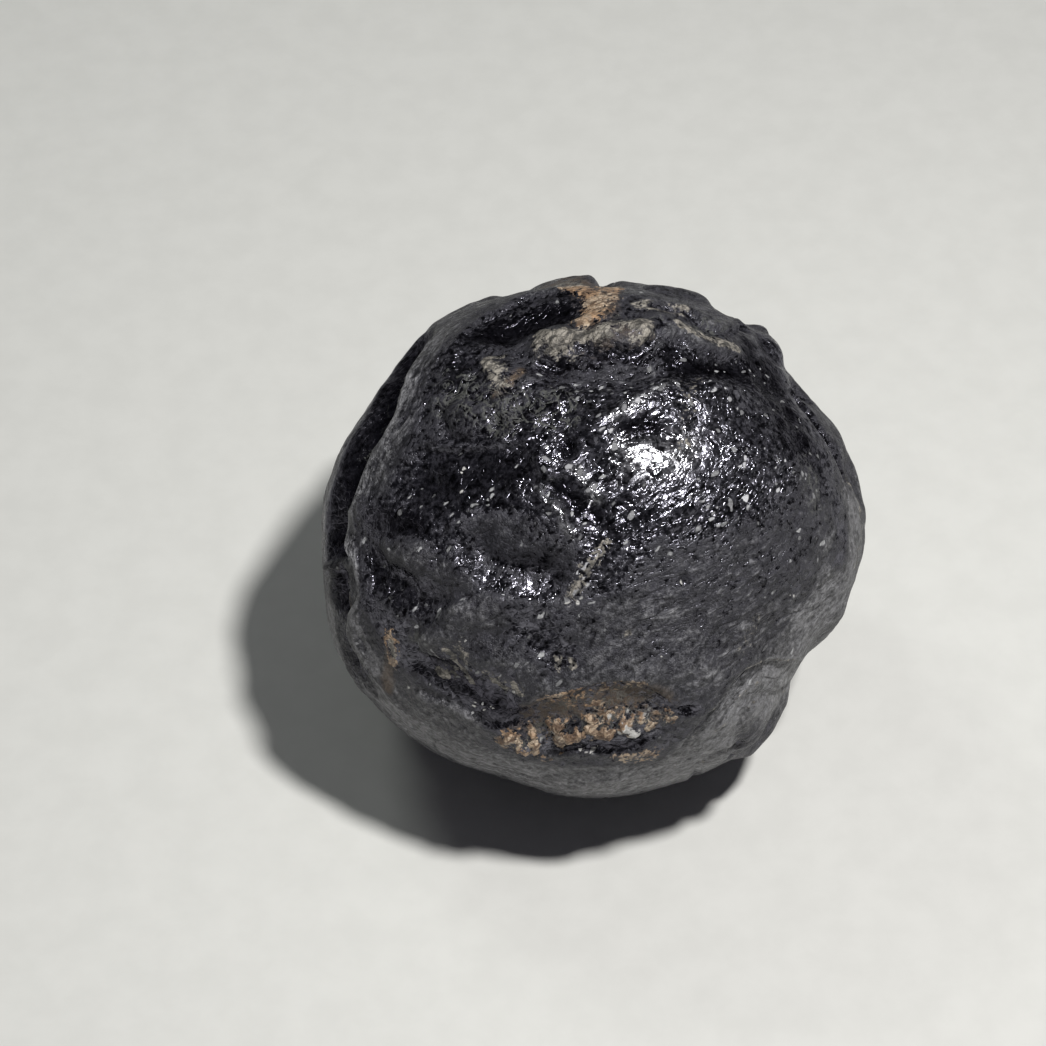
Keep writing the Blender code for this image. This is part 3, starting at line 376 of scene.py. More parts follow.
# Stains, pale mineral, flecks, and where the bare skin is lively, calm or dark, as masks of runs:
# (half width in mm, strength, path). The dark mask is painted shade in hollows and under ledges. Calm
# skin is smoother, and its brighter mirror colour is a painted highlight. The flecks are painted
# glints, as pale grains, and the specks are pale grains with some painted glints among them.
PAINT = {
    "rust": {
        "top knob": (1.7, 1.0, [(578, 292), (592, 298), (596, 312), (588, 326)]),
        "right of it": (1.2, 1.0, [(600, 294), (616, 290), (608, 304)]),
        "over the earthy hollow": (1.0, 0.6, [(550, 700), (576, 694), (604, 690), (640, 687)]),
        "in its low edge": (1.6, 0.42, [(508, 736), (552, 734), (596, 726), (626, 722), (662, 718)]),
        "orange lump in it": (0.9, 0.9, [(592, 708), (600, 716), (596, 730)]),
        "left orange lump in it": (0.9, 0.9, [(548, 736), (562, 732), (556, 746)]),
        "left orange line of it": (0.6, 0.75, [(552, 700), (566, 702), (572, 712)]),
        "lowest orange of it": (0.7, 0.7, [(534, 752), (544, 758)]),
        "streak": (0.9, 0.95, [(386, 634), (391, 648), (392, 664)]),
        "small rust patch": (1.3, 0.62, [(622, 759), (638, 757), (652, 753)]),
        "tan line": (0.3, 0.65, [(497, 398), (506, 386), (522, 370)]),
    },
    "pale": {
        "beige left of the knob": (1.0, 0.8, [(550, 288), (566, 286), (578, 290)]),
        "cream in the streak": (0.5, 1.4, [(388, 642), (392, 656)]),
        "top lump": (1.5, 0.95, [(545, 346), (560, 347), (582, 340)]),
        "its bright end": (0.7, 1.3, [(537, 335), (545, 340)]),
        "right lump": (1.6, 0.66, [(600, 340), (618, 332), (642, 342)]),
        "beige ledge": (0.9, 0.9, [(676, 332), (704, 340), (736, 346)]),
        "upper beige ledge": (1.0, 0.85, [(640, 311), (662, 315), (684, 314)]),
        "patch": (1.2, 0.72, [(490, 366), (500, 366), (501, 388)]),
        "patch's edge": (0.4, 1.2, [(485, 363), (492, 358), (501, 353)]),
        "raised scratch": (0.9, 0.8, [(606, 540), (588, 566), (572, 596)]),
        "flecks left of the low dish": (1.2, 0.62, [(444, 676), (462, 660), (458, 644)]),
        "left of the low dish": (0.5, 1.8, [(434, 678), (442, 682)]),
        "low dish": (0.5, 1.9, [(454, 660), (460, 672), (464, 682)]),
        "streak in the low dish": (0.4, 1.7, [(449, 648), (455, 655)]),
        "right of the low dish": (0.45, 1.7, [(492, 680), (504, 688)]),
        "by the low plate": (0.45, 1.6, [(514, 682), (520, 690)]),
        "flecks in the middle": (0.6, 1.0, [(556, 655), (558, 664)]),
        "more flecks in the middle": (0.55, 1.0, [(570, 658), (572, 664)]),
        "flecks by the thumbprint": (1.0, 0.5, [(486, 674), (520, 688)]),
        "flecks above the lens": (0.8, 0.5, [(614, 632), (626, 636)]),
        "facet rim": (0.5, 0.42, [(808, 657), (778, 662), (752, 669), (734, 680)]),
        "line on the facet": (0.35, 0.5, [(790, 690), (765, 700), (748, 715), (740, 735), (734, 756)]),
        "second line on it": (0.35, 0.45, [(776, 680), (752, 689), (736, 702), (726, 718), (716, 734)]),
        "low line on it": (0.35, 0.45, [(712, 704), (700, 728), (690, 750), (676, 772)]),
        "lowest line on it": (0.35, 0.45, [(700, 772), (714, 757), (734, 749)]),
        "right flecks": (1.2, 0.5, [(742, 650), (760, 622)]),
        "edge of the right side": (0.9, 0.5, [(852, 480), (860, 520), (852, 560)]),
        "veil on the dome": (1.4, 0.5, [(690, 376), (684, 410), (680, 440)]),
    },
    "brown": {
        "round the knob": (2.4, 0.7, [(556, 286), (590, 296), (600, 320)]),
        "right lump": (2.0, 0.5, [(596, 342), (640, 340)]),
        "face of the earthy hollow": (2.6, 0.9, [(526, 722), (580, 706), (650, 702)]),
        "under the streak": (1.0, 0.8, [(388, 650), (388, 690)]),
        "earth pocket": (0.8, 1.0, [(494, 394), (504, 388), (520, 370)]),
        "pocket": (1.2, 0.9, [(338, 578), (342, 608)]),
    },
    # Pale grains, cream stubs and a white deposit, with painted glints under the fringe and in the low dish.
    "speck": {
        "cream left stubs": (1.3, 0.44, [(512, 738), (536, 742), (556, 734)]),
        "cream right stubs": (1.2, 0.44, [(606, 720), (632, 716), (656, 718)]),
        "stubs in the low dish": (0.7, 0.5, [(440, 654), (454, 662), (462, 682)]),
        "stubs right of them": (0.55, 0.5, [(490, 680), (506, 686), (518, 692)]),
        "bright deposit": (0.75, 1.75, [(624, 728), (636, 736)]),
        "glints under the fringe": (0.5, 0.8, [(576, 748), (592, 752), (604, 750)]),
        "glints in the low dish": (0.35, 1.0, [(470, 706), (480, 710), (492, 706), (504, 712)]),
    },
    "lively": {
        "dome": (3.2, 1.2, [(562, 440), (592, 410), (652, 384), (730, 390), (768, 434)]),
        "right of the core": (2.2, 1.1, [(716, 420), (728, 452)]),
        "lower dome": (2.8, 0.9, [(592, 498), (640, 512), (700, 500), (756, 470)]),
        "left of the dome": (1.8, 1.8, [(578, 440), (600, 430), (612, 456)]),
        "far right": (3.0, 1.3, [(764, 390), (786, 440), (776, 490)]),
        "shelf": (1.8, 0.8, [(540, 386), (600, 388), (640, 384)]),
        "short ridges": (3.0, 0.4, [(520, 450), (556, 500), (580, 540)]),
        "thumbprint edge": (1.0, 0.3, [(466, 558), (484, 576), (510, 588), (532, 592)]),
    },
    # Smoother skin whose brighter mirror colour is a painted highlight, on the highlight's core and the
    # ridges that catch it.
    "calm": {
        "upper short ridge": (0.6, 1.0, [(578, 470), (602, 500)]),
        "lower short ridge": (0.6, 1.0, [(542, 490), (558, 508), (572, 534)]),
        "dome edge": (0.6, 0.9, [(610, 420), (640, 404), (672, 386)]),
        "core": (2.3, 1.1, [(634, 456), (670, 450)]),
    },
    # Painted glints: pale matt grains where the lamp's glints fall, thickest on the dome and ridges.
    "painted_glints": {
        "left": (4.5, 0.8, [(410, 480), (470, 490), (530, 490)]),
        "under the knuckle": (2.6, 0.7, [(384, 578), (410, 596), (440, 610)]),
        "low middle": (3.2, 0.8, [(430, 670), (500, 690), (560, 640), (560, 600)]),
        "top": (2.4, 0.95, [(540, 384), (600, 392), (700, 360), (760, 370)]),
        "right": (3.4, 1.2, [(756, 372), (786, 420), (796, 480)]),
        "right side": (3.0, 0.5, [(800, 540), (780, 600)]),
        "trough": (1.6, 0.5, [(396, 410), (362, 470), (345, 510)]),
        "lower dome": (3.6, 1.8, [(600, 500), (660, 510), (730, 496), (776, 470)]),
        "left of the dome": (1.6, 2.4, [(584, 440), (606, 430), (616, 456)]),
        "dome edge": (1.2, 2.6, [(612, 420), (642, 404), (674, 386)]),
        "bright lump": (1.2, 2.0, [(538, 456), (552, 440), (552, 470)]),
        "short ridges": (0.8, 3.0, [(572, 464), (586, 480), (602, 500)]),
        "lower ridge": (0.9, 3.0, [(540, 492), (554, 510), (574, 536)]),
        "scratch": (0.9, 4.0, [(602, 542), (590, 562), (572, 596)]),
        "dome right": (3.2, 2.0, [(716, 400), (740, 430), (744, 470)]),
        "thumbprint edge": (0.6, 2.2, [(474, 572), (488, 582), (510, 590), (532, 594)]),
    },
    # Painted shade: the bare skin is darker and blacker here, with fewer glints, in hollows, under ledges
    # and round the knob.
    "deep": {
        "upper left": (3.6, 0.55, [(446, 380), (500, 410), (560, 400)]),
        "trough": (3.2, 0.8, [(402, 360), (386, 400), (362, 440), (344, 488), (335, 524)]),
        "left pocket": (1.1, 1.0, [(336, 578), (338, 606)]),
        "left dish": (3.6, 0.6, [(434, 484), (470, 480), (510, 470)]),
        "upper hollow": (2.6, 1.0, [(486, 330), (520, 314), (560, 306)]),
        "under the top ledge": (1.0, 0.9, [(530, 366), (566, 358), (600, 356), (650, 358), (664, 350)]),
        "under the right ledge": (1.3, 1.0, [(672, 358), (700, 364), (738, 366)]),
        "round the knob": (1.6, 0.9, [(748, 340), (752, 362), (772, 366), (782, 384)]),
        "crease": (0.8, 1.0, [(797, 394), (812, 413), (824, 432), (838, 452), (848, 474)]),
        "above the knuckle": (1.6, 0.8, [(380, 520), (420, 528)]),
        "below the knuckle": (2.2, 0.5, [(378, 566), (396, 592), (430, 606)]),
        "thumbprint": (1.3, 0.8, [(500, 562), (530, 566), (552, 560)]),
        "between the ridges": (1.2, 1.0, [(560, 490), (580, 506), (598, 514)]),
        "small pit": (0.6, 1.0, [(565, 440), (570, 450)]),
        "lower dome": (2.4, 0.5, [(606, 524), (680, 530), (752, 510)]),
        "right of the dome": (3.6, 0.9, [(756, 366), (782, 410), (798, 450)]),
        "oval on the dome": (0.9, 1.0, [(624, 430), (654, 426)]),
        "low dish": (2.6, 0.9, [(436, 664), (470, 690), (512, 712)]),
        "pit beside the hollow": (0.9, 0.5, [(664, 706), (692, 706)]),
        "fringe": (0.8, 0.8, [(560, 748), (600, 750), (640, 744)]),
    },
    "web": {
        "upper left": (4.0, 0.9, [(460, 390), (500, 410), (556, 404)]),
        "at the top": (2.0, 0.7, [(540, 330), (590, 316), (650, 330), (720, 330)]),
        "earthy face": (2.0, 0.9, [(560, 706), (606, 700), (650, 702)]),
        "round the fringe": (1.6, 0.9, [(508, 736), (552, 730), (600, 724), (660, 716)]),
        "dark dish": (2.4, 0.42, [(460, 500), (490, 476), (520, 500)]),
        "left of the dome": (2.2, 0.35, [(530, 450), (556, 500), (590, 540)]),
        "trough": (3.0, 0.6, [(400, 370), (366, 440), (342, 500)]),
        "left": (3.0, 0.5, [(400, 600), (430, 660), (500, 690)]),
        "rough patch": (1.8, 0.8, [(800, 460), (814, 504)]),
    },
}
# Lone specks, of the same form: pale grains, and painted glints such as the one on the right knob.
SPECKS_AND_GLINTS = [
    (0.34, 1.2, [(612, 570), (614, 572)]),
    (0.38, 1.3, [(680, 582), (682, 584)]),
    (0.32, 1.1, [(765, 573), (769, 573)]),
    (0.3, 1.0, [(655, 598), (656, 600)]),
    (0.45, 1.1, [(564, 606), (574, 604), (580, 596)]),
    (0.3, 0.9, [(795, 594), (797, 597)]),
    (0.4, 1.1, [(616, 634), (622, 631)]),
    (0.3, 1.0, [(663, 657), (664, 660)]),
    (0.3, 1.0, [(768, 347), (769, 351)]),
    (0.3, 1.0, [(486, 702), (492, 712), (504, 712)]),
    (0.3, 1.0, [(402, 688), (406, 690)]),
    (0.34, 1.1, [(500, 495), (505, 500), (509, 501)]),
    (0.32, 1.0, [(459, 466), (461, 470)]),
    (0.3, 1.0, [(455, 490), (459, 490)]),
    (0.3, 0.9, [(418, 467), (420, 468)]),
    (0.3, 0.9, [(353, 476), (357, 476)]),
    (0.3, 0.9, [(462, 633), (466, 636)]),
]

# The mesh: a fine ball, denser on the seen side.
BALL_CUTS = 126
SEEN_SHARE = 0.35
EDGE_ROUNDS = 8

VIEW_RIGHT = np.array((1.0, 0.0, 0.0))
VIEW_UP = np.array((0.0, math.sin(VIEW_ELEVATION), math.cos(VIEW_ELEVATION)))
VIEW_NEAR = np.array((0.0, -math.cos(VIEW_ELEVATION), math.sin(VIEW_ELEVATION)))
MIDDLE = Vector((0, 0, MIDDLE_HEIGHT))

# The grains are longer along one direction: up to the right in the photograph.
GRAIN_RUN = tuple((VIEW_RIGHT + VIEW_UP) / math.sqrt(2))
GRAIN_STRETCH = 0.42
STROKE_STRETCH = 0.62
GRAIN_SIZE = 0.42 * MM
SWIRL_SIZE = 1.1 * MM
SWIRL_REACH = 1.0 * MM
BUMP_HEIGHT = 0.12 * MM

# Colours of the dull skin, of the bare skin, of its stains and flecks, and of the paper.
BLACK = (0.002, 0.0018, 0.003, 1)
DARK = (0.028, 0.0275, 0.035, 1)
DUSTY = (0.172, 0.171, 0.18, 1)
BARE = (0.125, 0.123, 0.145, 1)
# Painted highlight: the bare skin's brighter mirror colour where it is calm.
PAINTED_HIGHLIGHT_BARE = (0.3, 0.3, 0.32, 1)
# Painted shade: the bare skin's darker mirror colour in hollows and under ledges.
SHADED_BARE = (0.045, 0.043, 0.054, 1)
ORANGE = (0.48, 0.31, 0.185, 1)
CREAM = (0.6, 0.49, 0.37, 1)
DARK_EARTH = (0.14, 0.088, 0.056, 1)
BROWN = (0.135, 0.094, 0.06, 1)
WEB = (0.125, 0.128, 0.118, 1)
CRUST = (0.38, 0.35, 0.305, 1)
DARK_CRUST = (0.06, 0.056, 0.05, 1)
DIM_FLECK = (0.11, 0.11, 0.115, 1)
# Pale grains, which also paint glints where the glint mask is painted.
FLECK = (0.46, 0.465, 0.475, 1)
# Painted glints: the brightest flecks, where the glint mask is strong.
PAINTED_GLINT = (0.66, 0.66, 0.69, 1)
# Pale grains and deposit, and painted glints at some specks.
SPECK_AND_GLINT = (0.62, 0.61, 0.59, 1)
DARKER_PAPER = (0.76, 0.76, 0.73, 1)
PALER_PAPER = (0.80, 0.80, 0.77, 1)

# Lights: (direction from the nodule, distance in mm, width in mm, watts, colour, whether their
# reflections show).
LIGHTS = {
    "key": ((0.27, -0.22, 0.93), 240, 24, 0.58, (1.0, 0.99, 0.97), True),
    "back fill": ((-0.45, 0.45, 0.77), 260, 80, 0.085, (0.95, 1.0, 0.95), False),
}
ROOM = (0.043, 0.0425, 0.051, 1)
# The floor, in mm: rings, the radius at which it starts to sweep up, and how far it sweeps.
FLOOR_RINGS = (0, 60, 150, 300)
FLOOR_RADIUS = 500
FLOOR_SWEEP = 300
FLOOR_SIDES = 64


def outline_radius(angle):
    """The outline's distance from the nodule's middle at these angles, as a smooth sum of waves."""
    points = (np.array(OUTLINE) - NODULE_MIDDLE) * (METRES_PER_PIXEL, -METRES_PER_PIXEL)

    def waves(at):
        turns = np.outer(at, np.arange(1, OUTLINE_WAVES + 1))
        return np.hstack([np.ones((len(at), 1)), np.cos(turns), np.sin(turns)])

    read = waves(np.arctan2(points[:, 1], points[:, 0]))
    radii = np.hypot(points[:, 0], points[:, 1]) - OUTLINE_INSET * METRES_PER_PIXEL
    shares = np.linalg.lstsq(read, radii, rcond=None)[0]
    return waves(angle) @ shares


def lump_radius(out):
    """The plain lump's radius in these directions from its middle, which are unit vectors."""
    right, up, near = out @ VIEW_RIGHT, out @ VIEW_UP, out @ VIEW_NEAR
    across = np.hypot(right, up) / outline_radius(np.arctan2(up, right))
    deep = np.abs(near) / np.where(near > 0, FRONT_DEPTH, BACK_DEPTH)
    return (across**FULLNESS + deep**FULLNESS) ** (-1 / FULLNESS)


def seen_places(pixels):
    """The points of the lump that these pixels of the photograph show, measured from its middle."""
    pixels = np.array(pixels, float)
    lens = (pixels - PHOTO_MIDDLE) * (METRES_PER_PIXEL, -METRES_PER_PIXEL)
    middle = (np.array(NODULE_MIDDLE) - PHOTO_MIDDLE) * (METRES_PER_PIXEL, -METRES_PER_PIXEL)
    near = np.full(len(pixels), FRONT_DEPTH / 2)
    for _ in range(PLACE_ROUNDS):
        flat = lens * (1 - near / VIEW_DISTANCE)[:, None] - middle
        share = np.hypot(flat[:, 0], flat[:, 1]) / outline_radius(np.arctan2(flat[:, 1], flat[:, 0]))
        near = FRONT_DEPTH * np.clip(1 - share**FULLNESS, 0, 1) ** (1 / FULLNESS)
    return flat[:, :1] * VIEW_RIGHT + flat[:, 1:] * VIEW_UP + near[:, None] * VIEW_NEAR


def hidden_places(degrees):
    """The points of the lump at these azimuths and elevations, measured from its middle."""
    azimuth, elevation = np.radians(np.array(degrees, float)).T
    level = np.cos(elevation)
    out = np.stack([np.sin(azimuth) * level, -np.cos(azimuth) * level, np.sin(elevation)], 1)
    return out * lump_radius(out)[:, None]


def smooth_path(points):
    """A Catmull-Rom curve through the points, as a denser run of points."""
    if len(points) < 3:
        return points
    ends = np.vstack([2 * points[0] - points[1], points, 2 * points[-1] - points[-2]])
    run = []
    for a, b, c, d in zip(ends, ends[1:], ends[2:], ends[3:]):
        for t in np.arange(PATH_STEPS) / PATH_STEPS:
            bend = 2 * a - 5 * b + 4 * c - d
            run.append((2 * b + (c - a) * t + bend * t**2 + (3 * b - a - 3 * c + d) * t**3) / 2)
    return np.vstack([*run, points[-1]])


def distances(places, out, path):
    """How far each place is from the path, negative to its right, and how far along it, from 0 to 1."""
    nearest = np.full(len(places), np.inf)
    side = np.ones(len(places))
    along = np.zeros(len(places))
    lengths = np.linalg.norm(np.diff(path, axis=0), axis=1)
    starts = np.concatenate([[0], np.cumsum(lengths)])
    for i, (start, run) in enumerate(zip(path, np.diff(path, axis=0))):
        share = np.clip((places - start) @ run / (run @ run), 0, 1)
        away = places - start - share[:, None] * run
        distance = np.linalg.norm(away, axis=1)
        closer = distance < nearest
        nearest[closer] = distance[closer]
        left = np.einsum("ij,ij->i", np.cross(run, away), out)
        side[closer] = np.where(left[closer] < 0, -1, 1)
        along[closer] = ((starts[i] + share * lengths[i]) / starts[-1])[closer]
    return nearest * side, along


def near_path(places, out, path, reach):
    """Which places may be within reach of the path, how far from it these are, in mm, and how far along."""
    middle = path.mean(axis=0)
    far = np.linalg.norm(path - middle, axis=1).max() + reach * MM
    close = np.linalg.norm(places - middle, axis=1) < far
    distance, along = distances(places[close], out[close], path)
    return close, distance / MM, along


def swelling(distance, along, width, height):
    """A smooth rise that ends at its width."""
    return height * np.clip(1 - (distance / width) ** 2, 0, None) ** 2


def hollow(distance, along, width, depth):
    """A smooth dip that ends at its width."""
    return -swelling(distance, along, width, depth)


def taper(along):
    """A fade to nothing at both ends of a path."""
    return np.clip(np.minimum(along, 1 - along) / PATH_TAPER, 0, 1)


def ridge(distance, along, width, height):
    """A rise with a narrow crest."""
    return height * np.exp(-np.abs(distance / width) ** RIDGE_POWER) * taper(along)


def ledge(distance, along, upper, lower, height):
    """A drop from the left of the path to its right, level again away from it on both sides."""
    above = 0.5 + 0.5 * np.tanh(distance / LEDGE_LIP)
    rise = above * np.exp(-np.clip(distance, 0, None) / upper)
    fall = (1 - above) * np.exp(np.clip(distance, None, 0) / lower)
    return 0.5 * height * (rise - fall) * taper(along)


KINDS = {"swelling": swelling, "hollow": hollow, "ridge": ridge, "ledge": ledge}


def noise_at(places, size, seed=UNEVEN_SEED):
    """Smooth noise of this size, in mm, at each place."""
    return np.array([noise.noise(Vector(p) + seed) for p in places / (size * MM)])


def wandered(places):
    """The places, each moved a little, so that the features' edges wander as natural ones do."""
    moved = places.copy()
    for size, far in WANDER:
        for axis, seed in enumerate(WANDER_SEEDS):
            moved[:, axis] += far * MM * noise_at(places, size, seed)
    return moved


def drawn():
    """The features that are drawn over the hidden sides, each with a short path in degrees."""
    draw = random.Random(DRAW_SEED)
    features = {}
    while len(features) < DRAWS:
        kind, least, most = draw.choice(DRAWN)
        sizes = [draw.uniform(*pair) for pair in zip(least, most)]
        azimuth = draw.uniform(0, 360)
        elevation = math.degrees(math.asin(draw.uniform(*DRAWN_HEIGHTS)))
        heading = draw.uniform(0, 2 * math.pi)
        path = []
        for _ in range(draw.randint(*DRAWN_POINTS)):
            path.append((azimuth, elevation))
            step = draw.uniform(*DRAWN_STEP)
            heading += draw.uniform(-DRAWN_BEND, DRAWN_BEND)
            azimuth += step * math.cos(heading) / max(POLE_LIMIT, math.cos(math.radians(elevation)))
            elevation = min(STEEPEST, max(-STEEPEST, elevation + step * math.sin(heading)))
        if (hidden_places(path) @ VIEW_NEAR).max() < -SEEN_MARGIN:
            features[f"drawn {len(features)}"] = (kind, *sizes, path)
    return features


def fringe():
    """The short ridges of the earthy hollow's rough low edge, each with a path of three pixels."""
    draw = random.Random(FRINGE_SEED)
    features = {}
    for i in range(FRINGE_RIDGES):
        place = draw.uniform(0, len(FRINGE) - 1.001)
        (x0, y0), (x1, y1) = FRINGE[int(place)], FRINGE[int(place) + 1]
        x = x0 + (x1 - x0) * (place % 1) + draw.uniform(*FRINGE_ASIDE)
        y = y0 + (y1 - y0) * (place % 1) + draw.uniform(*FRINGE_BELOW)
        tall = draw.uniform(*FRINGE_REACH)
        lean = draw.uniform(*FRINGE_LEAN)
        sizes = draw.uniform(*FRINGE_WIDTHS), draw.uniform(*FRINGE_HEIGHTS)
        features[f"fringe {i}"] = ("ridge", *sizes, [(x + lean, y - tall), (x, y), (x - lean, y + tall)])
    return features


def relief(places, out):
    """The height that the features add at each place, in metres."""
    added = np.zeros(len(places))
    for features, places_of in (
        (SEEN, seen_places), (HIDDEN, hidden_places), (drawn(), hidden_places),
        (FINE, seen_places), (fringe(), seen_places),
    ):
        for kind, *sizes, read in features.values():
            path = smooth_path(places_of(read))
            close, distance, along = near_path(places, out, path, REACH * max(sizes))
            added[close] += KINDS[kind](distance, along, *sizes) * MM
    return added


def strongest(places, out, runs, least=0.0):
    """The most that these runs across the photograph give each place: (half width, strength, path)."""
    values = np.full(len(places), least)
    for half_width, strength, read in runs:
        close, distance, along = near_path(places, out, smooth_path(seen_places(read)), half_width)
        values[close] = np.maximum(values[close], swelling(distance, along, half_width, strength))
    return values


def unevenness(places, out, rugged):
    """Waves of a few sizes, as a smooth noise in space."""
    calm = np.clip(CALMEST + np.abs(places @ VIEW_NEAR) / (CALM_BAND * MM), 0, 1)
    calm *= 1 - strongest(places, out, [DOME])
    coarse = sum(height * noise_at(places, size) for size, height in UNEVENNESS)
    fine = sum(height * noise_at(places, size) for size, height in FINE_UNEVENNESS)
    return (coarse * calm + fine * rugged) * MM


def creased(places, rugged):
    """Creases between lumps, where the skin is rugged."""
    depth = sum(
        height * (CREASE_EDGE - np.abs(noise_at(places, size, CREASE_SEED))) for size, height in CREASES
    )
    return -depth * rugged * MM


def with_foot(points):
    """The points with a worn flat foot below, which blends into the sides."""
    depth = np.maximum(-points[:, 2], 1e-9)
    share = MIDDLE_HEIGHT / depth
    near_foot = np.clip(0.5 + 0.5 * (1 - share) * MIDDLE_HEIGHT / FOOT_ROUNDING, 0, 1)
    scale = 1 + (share - 1) * near_foot
    scale -= FOOT_ROUNDING / MIDDLE_HEIGHT * near_foot * (1 - near_foot)
    return points * scale[:, None]


def ball(name):
    """A ball of even square faces, of radius 1, smaller where the photograph sees them."""
    mesh = bpy.data.meshes.new(name)
    shape = bmesh.new()
    bmesh.ops.create_cube(shape, size=2)
    bmesh.ops.subdivide_edges(shape, edges=shape.edges[:], cuts=BALL_CUTS, use_grid_fill=True)
    for vertex in shape.verts:
        vertex.co = Vector([math.tan(x * math.pi / 4) for x in vertex.co]).normalized()
        vertex.co = (vertex.co + SEEN_SHARE * Vector(VIEW_NEAR)).normalized()
    shape.to_mesh(mesh)
    shape.free()
    return mesh


def paint(mesh, name, values):
    """A value for each point of the mesh, for its material to read."""
    layer = mesh.attributes.new(name, "FLOAT", "POINT")
    layer.data.foreach_set("value", values.astype(np.float32))


def paint_grey(mesh, places, out):
    """How grey and dull the skin is."""
    level = np.full(len(places), PLAIN_LEVEL)
    for half_width, target, read in GREY.values():
        close, distance, along = near_path(places, out, smooth_path(seen_places(read)), half_width)
        share = np.clip(swelling(distance, along, half_width, GREY_CORE), 0, 1)
        level[close] += (target - level[close]) * share
    paint(mesh, "grey", level)


def paint_masks(mesh, places, out):
    """Where the skin is stained, pale or lively, and where shade, glints and a highlight are painted on it.
    """
    runs = {mask: list(paths.values()) for mask, paths in PAINT.items()}
    runs["rust"] += [(FRINGE_STAIN, 1.0, read) for *_, read in fringe().values()]
    runs["speck"] += SPECKS_AND_GLINTS
    for mask, laid in runs.items():
        paint(mesh, mask, strongest(places, out, laid))


def paint_strands(mesh, places, out):
    """How far each point is across and along a run of strands, in mm, and how clearly it has them."""
    across, down, clear = np.zeros((3, len(places)))
    for half_width, read in STRANDS.values():
        path = smooth_path(seen_places(read))
        close, distance, along = near_path(places, out, path, half_width)
        here = swelling(distance, along, half_width, 1.0) * taper(along)
        better = here > clear[close]
        length = np.linalg.norm(np.diff(path, axis=0), axis=1).sum() / MM
        across[close] = np.where(better, distance, across[close])
        down[close] = np.where(better, along * length, down[close])
        clear[close] = np.maximum(clear[close], here)
    for name, values in (("across", across), ("down", down), ("strands", clear)):
        paint(mesh, name, values)


def paint_edges(mesh, points):
    """How far each point stands out of its neighbours' mean, outward, in mm."""
    ends = np.empty(len(mesh.edges) * 2, np.int64)
    mesh.edges.foreach_get("vertices", ends)
    ends = ends.reshape(-1, 2)
    normals = np.empty(len(points) * 3)
    mesh.vertices.foreach_get("normal", normals)
    count = np.bincount(ends.ravel(), minlength=len(points))[:, None]

    def neighbours(values):
        total = np.zeros_like(values)
        np.add.at(total, ends[:, 0], values[ends[:, 1]])
        np.add.at(total, ends[:, 1], values[ends[:, 0]])
        return total / count

    smooth = points
    for _ in range(EDGE_ROUNDS):
        smooth = neighbours(smooth)
    paint(mesh, "edge", ((points - smooth) * normals.reshape(-1, 3)).sum(axis=1) / MM)


def placed(name, data):
    """An object of this name in the scene."""
    made = bpy.data.objects.new(name, data)
    bpy.context.scene.collection.objects.link(made)
    return made


def nodule():
    """The visible lump."""
    mesh = ball("specimen")
    out = np.empty(len(mesh.vertices) * 3)
    mesh.vertices.foreach_get("co", out)
    out = out.reshape(-1, 3)
    places = out * lump_radius(out)[:, None]
    moved = wandered(places)
    rugged = strongest(moved, out, RUGGED.values(), PLAIN_RUGGEDNESS)
    lift = unevenness(places, out, rugged) + creased(moved, rugged) + relief(moved, out)
    points = with_foot(places + lift[:, None] * out) + (0, 0, MIDDLE_HEIGHT)
    mesh.vertices.foreach_set("co", points.ravel())
    mesh.update()
    mesh.shade_smooth()
    paint_grey(mesh, moved, out)
    paint_masks(mesh, moved, out)
    paint_strands(mesh, moved, out)
    paint_edges(mesh, points)
    mesh.materials.append(skin())
    return placed("specimen", mesh)


class Number:
    """A node's output that is a number, so that sums on it can be written as sums."""

    def __init__(self, nodes, socket):
        self.nodes = nodes
        self.socket = socket

    def __add__(self, other):
        return self.nodes.maths("ADD", self, other)

    def __sub__(self, other):
        return self.nodes.maths("SUBTRACT", self, other)

    def __mul__(self, other):
        return self.nodes.maths("MULTIPLY", self, other)


